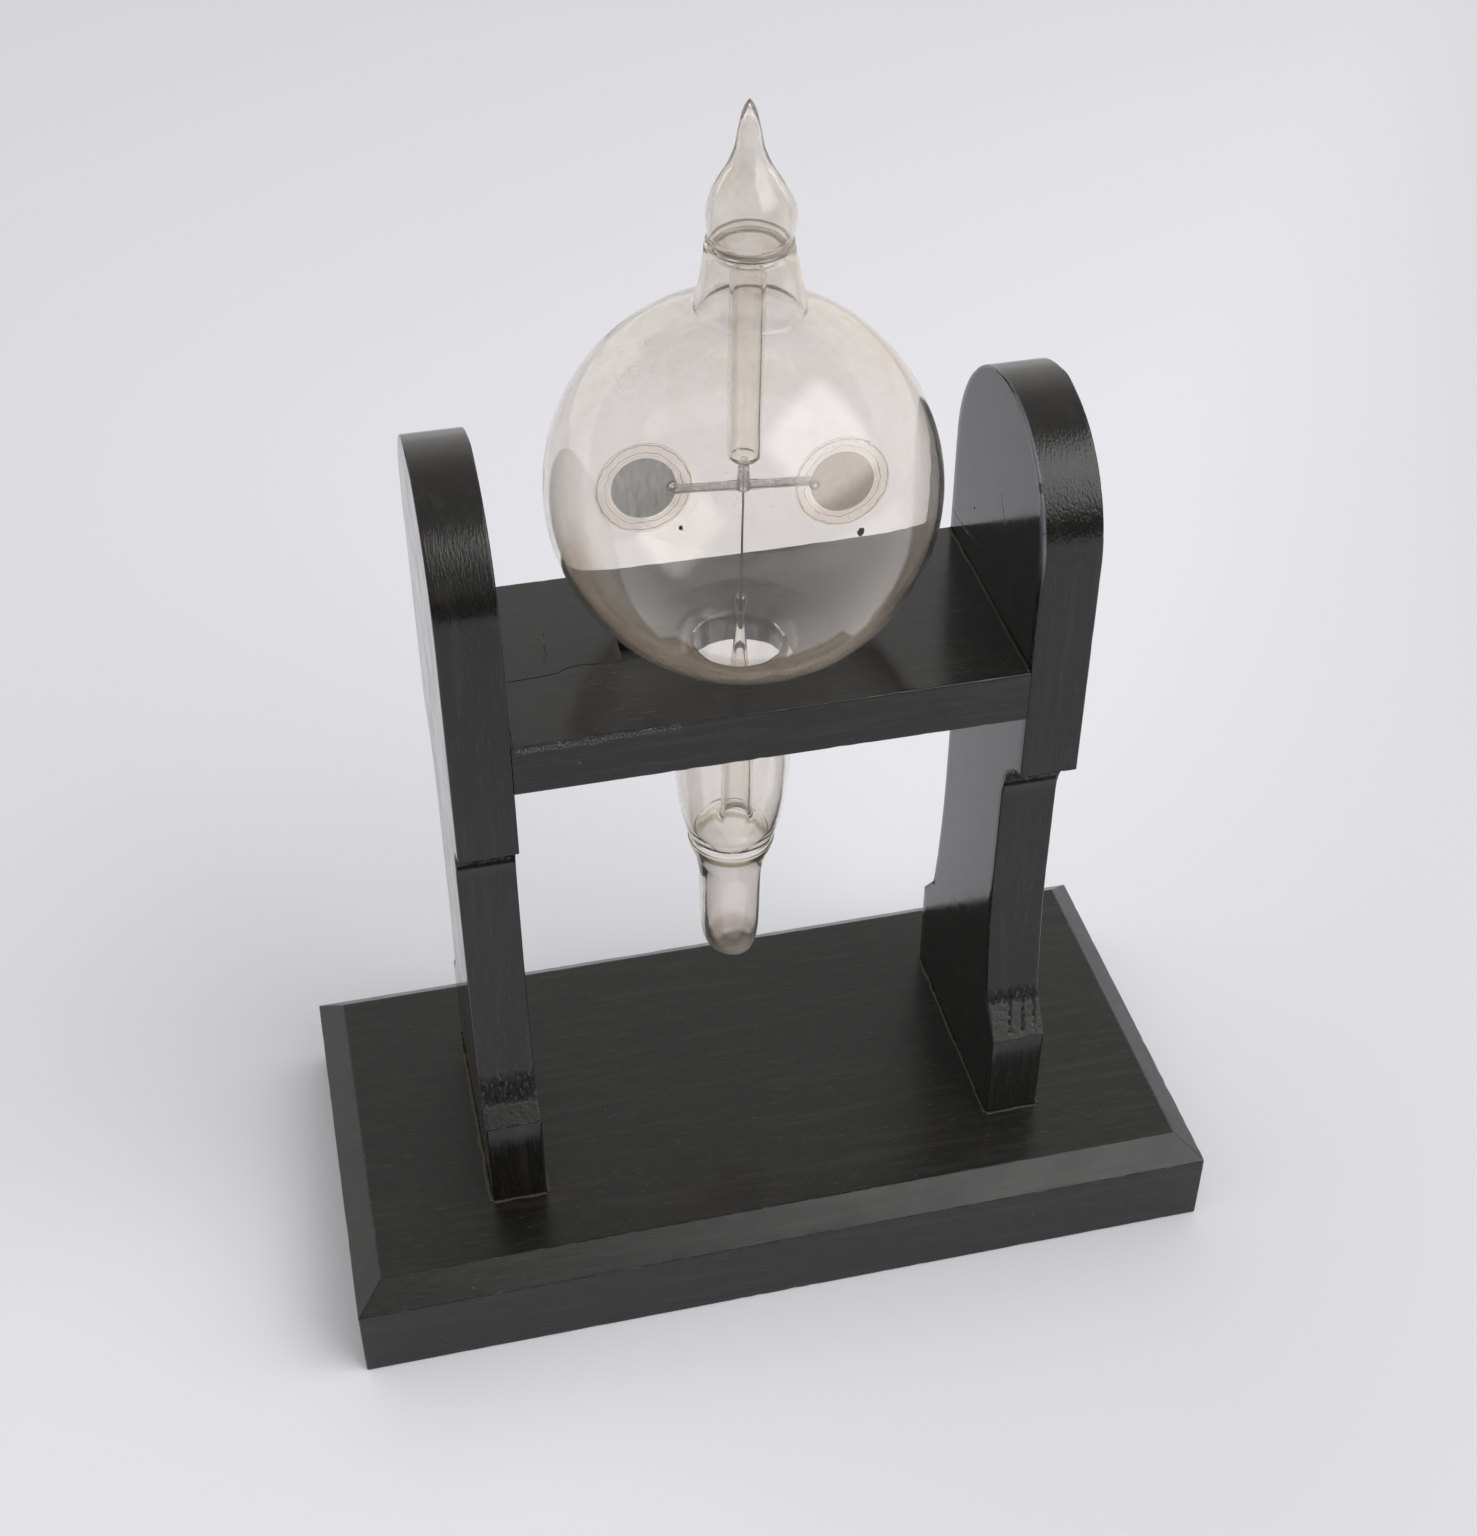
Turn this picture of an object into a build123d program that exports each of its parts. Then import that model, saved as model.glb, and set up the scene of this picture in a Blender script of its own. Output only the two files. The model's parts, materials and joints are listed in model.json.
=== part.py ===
from build123d import *
import math
import os

# A light mill in a glass bulb, on an ebonised wooden stand.
# Millimetres, +Z up, +X along the base and -Y towards the front.
# The origin is the middle of the base's underside.

# Base board
base_length = 203.2
base_depth = 100.8
base_height = 24.1
bevel_inset = 6.2
bevel_drop = 5.1

# Uprights: a foot, a leg cut in from both edges, and a round head
frame_middle = -0.7
upright_spacing = 107.7
upright_thickness = 12.7
upright_depth = 55.9
head_height = 210.6
foot_height = 24.6
foot_slope_height = 7.8
leg_depth = 36.6
ankle_step = 3.3
calf_height = 38.0
shoulder_height = 130.3
cove_height = 14.0
wood_edge_round = 0.4

# Shelf with its stub tenons
shelf_top = 158.2
shelf_thickness = 12.1
tenon_width = 36.0
tenon_thickness = 6.0
tenon_length = 6.5
tenon_fit = 0.05

# Round hole, dished seat and side slot in the shelf
hole_offset = -1.1
hole_radius = 13.0
seat_radius = 18.1
seat_gap = 0.25
slot_reach = 25.8
slot_width = 9.1

# Countersunk wood screws, from below into the uprights
screw_pitch = 30.0
screw_length = 38.0
screw_radius = 2.1
screw_head_radius = 4.1
screw_head_height = 3.0
screw_head_sink = 0.4
screw_point_length = 5.0
screw_slot_width = 1.1
screw_slot_depth = 1.3
screw_fit = 0.05

# Glass bulb: heights along its axis are from the middle of the globe
globe_radius = 40.1
globe_wall = 1.0
bulb_lean = 1.0
neck_wall = 1.15
neck_blend = 3.5
upper_neck_radius = 8.3
upper_neck_taper = 0.185
upper_weld_height = 53.4
lower_neck_radius = 10.7
lower_neck_straight = 52.0
bulge_radius = 12.4
bulge_depth = 73.0
lower_weld_radius = 9.5
lower_weld_depth = 93.5

# Drawn-off seal above the upper weld
seal_wall = 1.2
seal_shoulder_radius = 8.1
seal_shoulder_height = 6.5
seal_cone_radius = 5.6
seal_cone_height = 12.4
seal_spout_radius = 2.8
seal_spout_height = 18.4
seal_tip_radius = 1.9
seal_tip_height = 23.3
seal_height = 27.2

# Round-ended stub below the lower weld
stub_wall = 1.1
stub_waist_radius = 6.9
stub_waist_drop = 10.5
stub_radius = 6.4
stub_straight_drop = 27.0
stub_length = 36.2

# Guard tube over the pivot cap
guard_radius = 3.5
guard_wall = 0.7
guard_bottom = 6.3
guard_flare_height = 6.5
guard_nub_radius = 0.7
glass_fit = 0.05

# Stem, needle bead and needle
stem_radius = 3.5
stem_wall = 0.75
bell_height = 4.6
bell_round = 1.6
stem_shoulder_depth = 72.0
stem_tip_radius = 1.45
stem_tip_wall = 0.4
stem_tip_depth = 39.5
stem_top_depth = 32.5
bead_waist_radius = 0.8
bead_radius = 1.25
bead_height = 5.8
needle_radius = 0.22
needle_grip = 4.0
needle_point_length = 2.5
needle_fit = 0.02

# Mill: pivot cap, sockets and arms
cap_height = 5.4
cap_base_drop = 0.8
cap_base_radius = 1.5
cap_top_radius = 1.1
cap_bore_radius = 0.75
cap_roof = 0.5
pivot_gap = 0.08
arm_azimuth = -4.9
socket_radius = 1.1
socket_length = 3.1
arm_radius = 0.95
arm_bore_radius = 0.55
arm_reach = 14.0

# Vanes: a clear mica disc between a smaller black and a smaller bright disc
vane_reach = 19.8
mica_radius = 9.93
mica_thickness = 0.15
facing_radius = 6.6
facing_thickness = 0.12
vane_tilt = 3.5
vane_gap = 0.02
cement_radius = 1.1
cement_pin_radius = 0.4
cement_height = 0.45

# Places worked out from the sizes
upright_half = upright_depth / 2
crown_height = head_height - upright_half
foot_top = base_height + foot_height
ankle_height = foot_top + foot_slope_height
ankle_depth = leg_depth + 2 * ankle_step
calf_top = ankle_height + calf_height
cove_start = shoulder_height - cove_height
shelf_bottom = shelf_top - shelf_thickness
shelf_middle = shelf_top - shelf_thickness / 2
hole_x = frame_middle + hole_offset
seat_sphere_radius = globe_radius + seat_gap
globe_height = shelf_top + math.sqrt(seat_sphere_radius**2 - seat_radius**2)
lean = math.radians(bulb_lean)
globe_x = hole_x + (globe_height - shelf_middle) * math.tan(lean)
globe_centre = Vector(globe_x, 0, globe_height)
lower_weld = -lower_weld_depth

# The bulb's own planes: level across it, and the section through its axis
bulb_level = Plane(
    origin=globe_centre,
    x_dir=(math.cos(lean), 0, -math.sin(lean)),
    z_dir=(math.sin(lean), 0, math.cos(lean)),
)
bulb_section = Plane(
    origin=globe_centre, x_dir=bulb_level.x_dir, z_dir=-bulb_level.y_dir
)
bulb_axis = Axis(globe_centre, bulb_level.z_dir)

# The mill's planes: its arms lie along the local X of mill_level
mill_level = bulb_level.rotated((0, 0, arm_azimuth))
arm_section = Plane(origin=globe_centre, z_dir=mill_level.x_dir)
vane_facing = mill_level.rotated((90 - vane_tilt, 0, 0))

os.makedirs("parts", exist_ok=True)


def finish(piece, name):
    """Label a finished piece and write it."""
    piece.part.label = name
    export_step(piece.part, f"parts/{name}.step")
    print(f"{name}: {len(piece.part.solids())} solid(s), {piece.part.volume:.1f} mm3")


# Screw places are shared by the base, the uprights and the screws
upright_middle = upright_spacing / 2 + upright_thickness / 2
screw_places = [
    (frame_middle + side * upright_middle, y)
    for side in (-1, 1)
    for y in (-screw_pitch / 2, screw_pitch / 2)
]
screw_hole_radius = screw_radius + screw_fit
screw_tip = screw_head_sink + screw_length

# Base board
with BuildPart() as base:
    with BuildSketch(Plane.XY):
        Rectangle(base_length, base_depth)
    extrude(amount=base_height)
    chamfer(
        base.faces().sort_by(Axis.Z)[-1].edges(),
        length=bevel_inset,
        length2=bevel_drop,
        reference=base.faces().sort_by(Axis.Z)[-1],
    )
    fillet(base.edges().filter_by(Axis.Z), radius=wood_edge_round)
    with BuildSketch(Plane.XY):
        with Locations(*screw_places):
            Circle(screw_hole_radius)
    extrude(amount=base_height, mode=Mode.SUBTRACT)
    with BuildSketch(Plane.XY):
        with Locations(*screw_places):
            Circle(screw_head_radius + screw_fit)
    extrude(amount=screw_head_sink, mode=Mode.SUBTRACT)
    for place in screw_places:
        with BuildSketch(Plane.XY.offset(screw_head_sink)):
            with Locations(place):
                Circle(screw_head_radius + screw_fit)
        with BuildSketch(Plane.XY.offset(screw_head_sink + screw_head_height)):
            with Locations(place):
                Circle(screw_hole_radius)
        loft(mode=Mode.SUBTRACT)
finish(base, "base")

# Uprights
for side, name in ((-1, "left_upright"), (1, "right_upright")):
    inner_face = Plane.YZ.offset(frame_middle + side * upright_spacing / 2)
    with BuildPart() as upright:
        with BuildSketch(inner_face):
            with BuildLine():
                Polyline(
                    (0, base_height),
                    (upright_half, base_height),
                    (upright_half, foot_top),
                    (ankle_depth / 2, ankle_height),
                )
                Spline(
                    (ankle_depth / 2, ankle_height),
                    (leg_depth / 2, calf_top),
                    tangents=((leg_depth - ankle_depth, calf_height), (0, 1)),
                )
                Line((leg_depth / 2, calf_top), (leg_depth / 2, cove_start))
                TangentArc(
                    (leg_depth / 2, cove_start),
                    (upright_half, shoulder_height),
                    tangent=(0, 1),
                )
                Line((upright_half, shoulder_height), (upright_half, crown_height))
                CenterArc((0, crown_height), upright_half, 0, 90)
                mirror(about=Plane.YZ)
            make_face()
        extrude(amount=side * upright_thickness)
        rims = upright.faces().filter_by(Axis.X).edges()
        fillet(
            rims.filter_by(lambda rim: rim.center().Z > base_height + wood_edge_round),
            radius=wood_edge_round,
        )
        with BuildSketch(inner_face):
            with Locations((0, shelf_middle)):
                Rectangle(tenon_width + 2 * tenon_fit, tenon_thickness + 2 * tenon_fit)
        extrude(amount=side * (tenon_length + tenon_fit), mode=Mode.SUBTRACT)
        with BuildSketch(Plane.XY.offset(base_height)):
            with Locations(*screw_places):
                Circle(screw_hole_radius)
        extrude(amount=screw_tip + screw_fit - base_height, mode=Mode.SUBTRACT)
    finish(upright, name)

# Shelf
with BuildPart() as shelf:
    with BuildSketch(Plane.XY.offset(shelf_bottom)):
        with Locations((frame_middle, 0)):
            Rectangle(upright_spacing, upright_depth)
    extrude(amount=shelf_thickness)
    fillet(shelf.edges().filter_by(Axis.X), radius=wood_edge_round)
    with BuildSketch(Plane.XY.offset(shelf_middle - tenon_thickness / 2)):
        with Locations((frame_middle, 0)):
            Rectangle(upright_spacing + 2 * tenon_length, tenon_width)
    extrude(amount=tenon_thickness)
    with BuildSketch(Plane.XY.offset(shelf_bottom)):
        with Locations((hole_x, 0)):
            Circle(hole_radius)
            Rectangle(slot_reach, slot_width, align=(Align.MAX, Align.CENTER))
    extrude(amount=shelf_thickness, mode=Mode.SUBTRACT)
    with Locations(globe_centre):
        Sphere(seat_sphere_radius, mode=Mode.SUBTRACT)
finish(shelf, "shelf")

# Wood screws
with BuildPart() as screws:
    for place in screw_places:
        with BuildSketch(Plane.XY.offset(screw_head_sink)):
            with Locations(place):
                Circle(screw_head_radius)
        with BuildSketch(Plane.XY.offset(screw_head_sink + screw_head_height)):
            with Locations(place):
                Circle(screw_radius)
        loft()
        with BuildSketch(Plane.XY.offset(screw_head_sink + screw_head_height)):
            with Locations(place):
                Circle(screw_radius)
        extrude(amount=screw_length - screw_head_height - screw_point_length)
        with BuildSketch(Plane.XY.offset(screw_tip - screw_point_length)):
            with Locations(place):
                Circle(screw_radius)
        with BuildSketch(Plane.XY.offset(screw_tip)):
            with Locations(place):
                Circle(screw_fit)
        loft()
    with BuildSketch(Plane.XY.offset(screw_head_sink)):
        with Locations(*screw_places):
            Rectangle(2 * screw_head_radius, screw_slot_width, rotation=35)
    extrude(amount=screw_slot_depth, mode=Mode.SUBTRACT)
finish(screws, "upright_screws")


def bulb_half(wall, tube_wall):
    """Half section of globe and necks, drawn in by the thickness of the glass."""
    radius = globe_radius - wall
    inside_top = globe_radius / 2
    upper_radius = upper_neck_radius - tube_wall
    upper_root = upper_radius + upper_neck_taper * (upper_weld_height - inside_top)
    lower_radius = lower_neck_radius - tube_wall
    weld_radius = lower_weld_radius - tube_wall
    with BuildSketch() as half:
        Circle(radius)
        with BuildLine():
            Polyline(
                (0, inside_top),
                (upper_root, inside_top),
                (upper_radius, upper_weld_height),
                (0, upper_weld_height),
                close=True,
            )
        make_face()
        with BuildLine():
            Polyline((weld_radius, lower_weld), (0, lower_weld), (0, -inside_top))
            Polyline((0, -inside_top), (lower_radius, -inside_top), (lower_radius, -lower_neck_straight))
            Spline(
                (lower_radius, -lower_neck_straight),
                (bulge_radius - tube_wall, -bulge_depth),
                (weld_radius, lower_weld),
                tangents=((0, -1), (-0.4, -1)),
            )
        make_face()
        crotches = half.vertices().filter_by(
            lambda v: abs(math.hypot(v.X, v.Y) - radius) < glass_fit
            and 0 < v.X < globe_radius / 2
        )
        fillet(crotches, radius=neck_blend + wall)
        Rectangle(
            2 * globe_radius,
            8 * globe_radius,
            align=(Align.MAX, Align.CENTER),
            mode=Mode.SUBTRACT,
        )
    return half.sketch


# Globe with its two necks
with BuildPart() as globe:
    with BuildSketch(bulb_section):
        add(bulb_half(0, 0))
        add(bulb_half(globe_wall, neck_wall), mode=Mode.SUBTRACT)
    revolve(axis=bulb_axis)
finish(globe, "globe")

# Drawn-off seal
seal_base = (upper_neck_radius, upper_weld_height)
seal_shoulder = (seal_shoulder_radius, upper_weld_height + seal_shoulder_height)
seal_cone = (seal_cone_radius, upper_weld_height + seal_cone_height)
seal_spout = (seal_spout_radius, upper_weld_height + seal_spout_height)
seal_tip = (seal_tip_radius, upper_weld_height + seal_tip_height)
seal_end = upper_weld_height + seal_height
with BuildPart() as top_seal:
    with BuildSketch(bulb_section):
        with BuildLine():
            Spline(seal_base, seal_shoulder, seal_cone, seal_spout, seal_tip)
            Spline(seal_tip, (0, seal_end), tangents=((-0.35, 1), (-1, 0.15)))
            Polyline((0, seal_end), (0, upper_weld_height), seal_base)
        make_face()
        with BuildLine():
            hollow = [
                (radius - seal_wall, height)
                for radius, height in (seal_base, seal_shoulder, seal_cone, seal_spout)
            ]
            Spline(*hollow)
            Polyline(
                hollow[-1],
                (0, seal_tip[1] - seal_wall),
                (0, upper_weld_height),
                hollow[0],
            )
        make_face(mode=Mode.SUBTRACT)
    revolve(axis=bulb_axis)
finish(top_seal, "top_seal")

# Round-ended stub
stub_top = (lower_weld_radius, lower_weld)
stub_waist = (stub_waist_radius, lower_weld - stub_waist_drop)
stub_straight = (stub_radius, lower_weld - stub_straight_drop)
stub_end = lower_weld - stub_length
with BuildPart() as bottom_stub:
    for wall, mode in ((0, Mode.ADD), (stub_wall, Mode.SUBTRACT)):
        with BuildSketch(bulb_section):
            with BuildLine():
                Spline(
                    (stub_top[0] - wall, stub_top[1]),
                    (stub_waist[0] - wall, stub_waist[1]),
                    (stub_straight[0] - wall, stub_straight[1]),
                    (0, stub_end + wall),
                    tangents=((-0.4, -1), (-1, 0)),
                )
                Polyline(
                    (0, stub_end + wall),
                    (0, lower_weld),
                    (stub_top[0] - wall, stub_top[1]),
                )
            make_face()
        revolve(axis=bulb_axis, mode=mode)
finish(bottom_stub, "bottom_stub")

# Guard tube: hangs from a flared rim in the upper neck, closed below by a flat end and a nub
guard_rim = upper_neck_radius - neck_wall - glass_fit
guard_bend = upper_weld_height - guard_flare_height
with BuildPart() as guard_tube:
    for wall, mode in ((0, Mode.ADD), (guard_wall, Mode.SUBTRACT)):
        with BuildSketch(bulb_section):
            with BuildLine():
                FilletPolyline(
                    (0, guard_bottom + wall),
                    (guard_radius - wall, guard_bottom + wall),
                    (guard_radius - wall, guard_bend),
                    radius=guard_radius / 3,
                )
                Spline(
                    (guard_radius - wall, guard_bend),
                    (guard_rim - wall, upper_weld_height),
                    tangents=((0, 1), (0.5, 1)),
                )
                Polyline(
                    (guard_rim - wall, upper_weld_height),
                    (0, upper_weld_height),
                    (0, guard_bottom + wall),
                )
            make_face()
        revolve(axis=bulb_axis, mode=mode)
    with BuildSketch(bulb_section):
        with Locations((0, guard_bottom + guard_wall / 2)):
            Circle(guard_nub_radius)
            Rectangle(
                2 * guard_nub_radius,
                2 * guard_nub_radius,
                align=(Align.MAX, Align.CENTER),
                mode=Mode.SUBTRACT,
            )
    revolve(axis=bulb_axis)
finish(guard_tube, "guard_tube")

# Stem: a bell foot inside the lower weld, a tube, and a drawn tip
bell_rim = lower_weld_radius - neck_wall - glass_fit
bell_top = lower_weld + bell_height
stem_top = -stem_top_depth
with BuildPart() as stem:
    for wall, tip_wall, mode in (
        (0, 0, Mode.ADD),
        (stem_wall, stem_tip_wall, Mode.SUBTRACT),
    ):
        with BuildSketch(bulb_section):
            with BuildLine():
                foot = FilletPolyline(
                    (bell_rim - wall, lower_weld),
                    (bell_rim - wall, bell_top - wall),
                    (stem_radius - wall, bell_top - wall),
                    (stem_radius - wall, -stem_shoulder_depth),
                    radius=bell_round,
                )
                Spline(
                    foot @ 1,
                    (stem_tip_radius - tip_wall, -stem_tip_depth),
                    tangents=((0, 1), (0, 1)),
                )
                Polyline(
                    (stem_tip_radius - tip_wall, -stem_tip_depth),
                    (bead_waist_radius - tip_wall, stem_top - wall),
                    (0, stem_top - wall),
                    (0, lower_weld),
                    (bell_rim - wall, lower_weld),
                )
            make_face()
        revolve(axis=bulb_axis, mode=mode)
finish(stem, "stem")

# Bead that grips the needle's lower end
bead_top = stem_top + bead_height
with BuildPart() as needle_bead:
    with BuildSketch(bulb_section):
        with BuildLine():
            Spline(
                (bead_waist_radius, stem_top),
                (bead_radius, bead_top - bead_radius),
                tangents=((0, 1), (0, 1)),
            )
            Spline(
                (bead_radius, bead_top - bead_radius),
                (needle_radius + needle_fit, bead_top),
                tangents=((0, 1), (-1, 0)),
            )
            Polyline(
                (needle_radius + needle_fit, bead_top),
                (needle_radius + needle_fit, bead_top - needle_grip - needle_fit),
                (0, bead_top - needle_grip - needle_fit),
                (0, stem_top),
                (bead_waist_radius, stem_top),
            )
        make_face()
    revolve(axis=bulb_axis)
finish(needle_bead, "needle_bead")

# Needle, point up, just short of the roof of the pivot cap
cap_top = cap_height - cap_base_drop
cap_roof_height = cap_top - cap_roof
needle_tip = cap_roof_height - pivot_gap
with BuildPart() as needle:
    with BuildSketch(bulb_section):
        with BuildLine():
            Polyline(
                (0, bead_top - needle_grip),
                (needle_radius, bead_top - needle_grip),
                (needle_radius, needle_tip - needle_point_length),
                (needle_fit, needle_tip),
                (0, needle_tip),
                close=True,
            )
        make_face()
    revolve(axis=bulb_axis)
finish(needle, "needle")

# Pivot cap
with BuildPart() as pivot_cap:
    with BuildSketch(bulb_section):
        with BuildLine():
            Polyline(
                (cap_base_radius, -cap_base_drop),
                (cap_top_radius, cap_top),
                (0, cap_top),
                (0, cap_roof_height),
                (cap_bore_radius, cap_roof_height - cap_bore_radius),
                (cap_bore_radius, -cap_base_drop),
                close=True,
            )
        make_face()
    revolve(axis=bulb_axis)
finish(pivot_cap, "pivot_cap")

# Sockets fused to the cap, and the arms that run out of them
for side, hand in ((-1, "left"), (1, "right")):
    outward = Axis(globe_centre, mill_level.x_dir * side)
    with BuildPart() as socket:
        with BuildSketch(arm_section):
            Circle(socket_radius)
        extrude(amount=side * socket_length)
        with BuildSketch(arm_section):
            Circle(arm_bore_radius)
        extrude(amount=side * socket_length, mode=Mode.SUBTRACT)
        mouth = socket.faces().sort_by(outward)[-1]
        fillet(
            mouth.edges().sort_by(SortBy.RADIUS)[-1],
            radius=(socket_radius - arm_bore_radius) / 2,
        )
        with BuildSketch(bulb_section):
            with BuildLine():
                Polyline(
                    (0, -cap_base_drop - socket_radius),
                    (cap_base_radius + glass_fit, -cap_base_drop - socket_radius),
                    (cap_base_radius + glass_fit, -cap_base_drop),
                    (cap_top_radius + glass_fit, cap_top),
                    (0, cap_top),
                    close=True,
                )
            make_face()
        revolve(axis=bulb_axis, mode=Mode.SUBTRACT)
    finish(socket, f"{hand}_socket")

    with BuildPart() as arm:
        with BuildSketch(arm_section.offset(side * socket_length)):
            Circle(arm_radius)
            Circle(arm_bore_radius, mode=Mode.SUBTRACT)
        extrude(amount=side * (arm_reach - socket_length))
    finish(arm, f"{hand}_arm")

    # The arm lies on the vane's black side, so the black face of each vane looks the same way round
    black_step = arm_radius + vane_gap
    black_inner = black_step + facing_thickness
    mica_inner = black_inner + mica_thickness
    vane_plane = Plane(
        origin=globe_centre + mill_level.x_dir * (side * vane_reach),
        x_dir=mill_level.x_dir,
        z_dir=vane_facing.z_dir * side,
    )
    pin_place = (arm_reach - vane_reach) * side
    layers = (
        ("black_disc", facing_radius, black_step, facing_thickness),
        ("mica_disc", mica_radius, black_inner, mica_thickness),
        ("bright_disc", facing_radius, mica_inner, facing_thickness),
    )
    for layer, radius, step, thickness in layers:
        with BuildPart() as disc:
            with BuildSketch(vane_plane.offset(step)):
                Circle(radius)
                with Locations((pin_place, 0)):
                    Circle(cement_pin_radius + vane_gap, mode=Mode.SUBTRACT)
            extrude(amount=thickness)
        finish(disc, f"{hand}_{layer}")

    bright_face = mica_inner + facing_thickness + vane_gap
    with BuildPart() as cement:
        with BuildSketch(vane_plane.offset(bright_face)):
            with Locations((pin_place, 0)):
                Circle(cement_radius)
        extrude(amount=cement_height, taper=45)
        with BuildSketch(vane_plane.offset(black_step - vane_gap)):
            with Locations((pin_place, 0)):
                Circle(cement_pin_radius)
        extrude(amount=bright_face - black_step + vane_gap)
        with BuildSketch(vane_plane.offset(black_step - vane_gap)):
            with Locations((pin_place, 0)):
                Circle(cement_radius)
        extrude(amount=-arm_radius, taper=20)
        add(arm.part, mode=Mode.SUBTRACT)
    finish(cement, f"{hand}_cement")
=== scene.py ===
import json
import math

import bmesh
import bpy
import numpy as np
from mathutils import Matrix, Vector, noise


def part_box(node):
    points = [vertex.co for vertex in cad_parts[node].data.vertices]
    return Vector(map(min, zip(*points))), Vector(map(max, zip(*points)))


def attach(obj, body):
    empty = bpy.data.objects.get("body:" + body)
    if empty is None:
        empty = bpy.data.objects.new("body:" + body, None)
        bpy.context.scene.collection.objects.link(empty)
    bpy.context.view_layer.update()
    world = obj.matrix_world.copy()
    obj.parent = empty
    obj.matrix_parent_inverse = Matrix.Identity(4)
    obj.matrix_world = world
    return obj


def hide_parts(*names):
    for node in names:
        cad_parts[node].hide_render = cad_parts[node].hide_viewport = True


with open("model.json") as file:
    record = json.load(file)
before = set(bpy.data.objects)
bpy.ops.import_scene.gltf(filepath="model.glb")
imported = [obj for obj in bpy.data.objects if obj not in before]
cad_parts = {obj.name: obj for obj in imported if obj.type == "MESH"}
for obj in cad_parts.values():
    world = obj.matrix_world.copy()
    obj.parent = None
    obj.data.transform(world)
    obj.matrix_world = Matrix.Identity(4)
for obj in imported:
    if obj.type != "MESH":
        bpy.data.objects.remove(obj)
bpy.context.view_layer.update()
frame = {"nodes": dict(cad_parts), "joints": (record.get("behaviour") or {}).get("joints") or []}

# A light mill in a blown glass bulb, on an ebonised stand. Lengths are in millimetres up to
# the moment a mesh is made, and MM turns them into the frame's metres.
MM = 0.001

# The bulb stands on its own axis, which the frame gives by the bulb's slide and the mill's pivot
joints = {joint["name"]: joint for joint in frame["joints"]}
bulb_axis = Vector(joints["bulb_lift"]["axis"]).normalized()
pivot = Vector(joints["rotor_spin"]["pos_m"]) / MM
pivot_height = 4.1
globe_centre = pivot - bulb_axis * pivot_height
bulb_across = Vector((bulb_axis.z, 0, -bulb_axis.x)).normalized()
bulb_behind = bulb_axis.cross(bulb_across)


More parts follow.
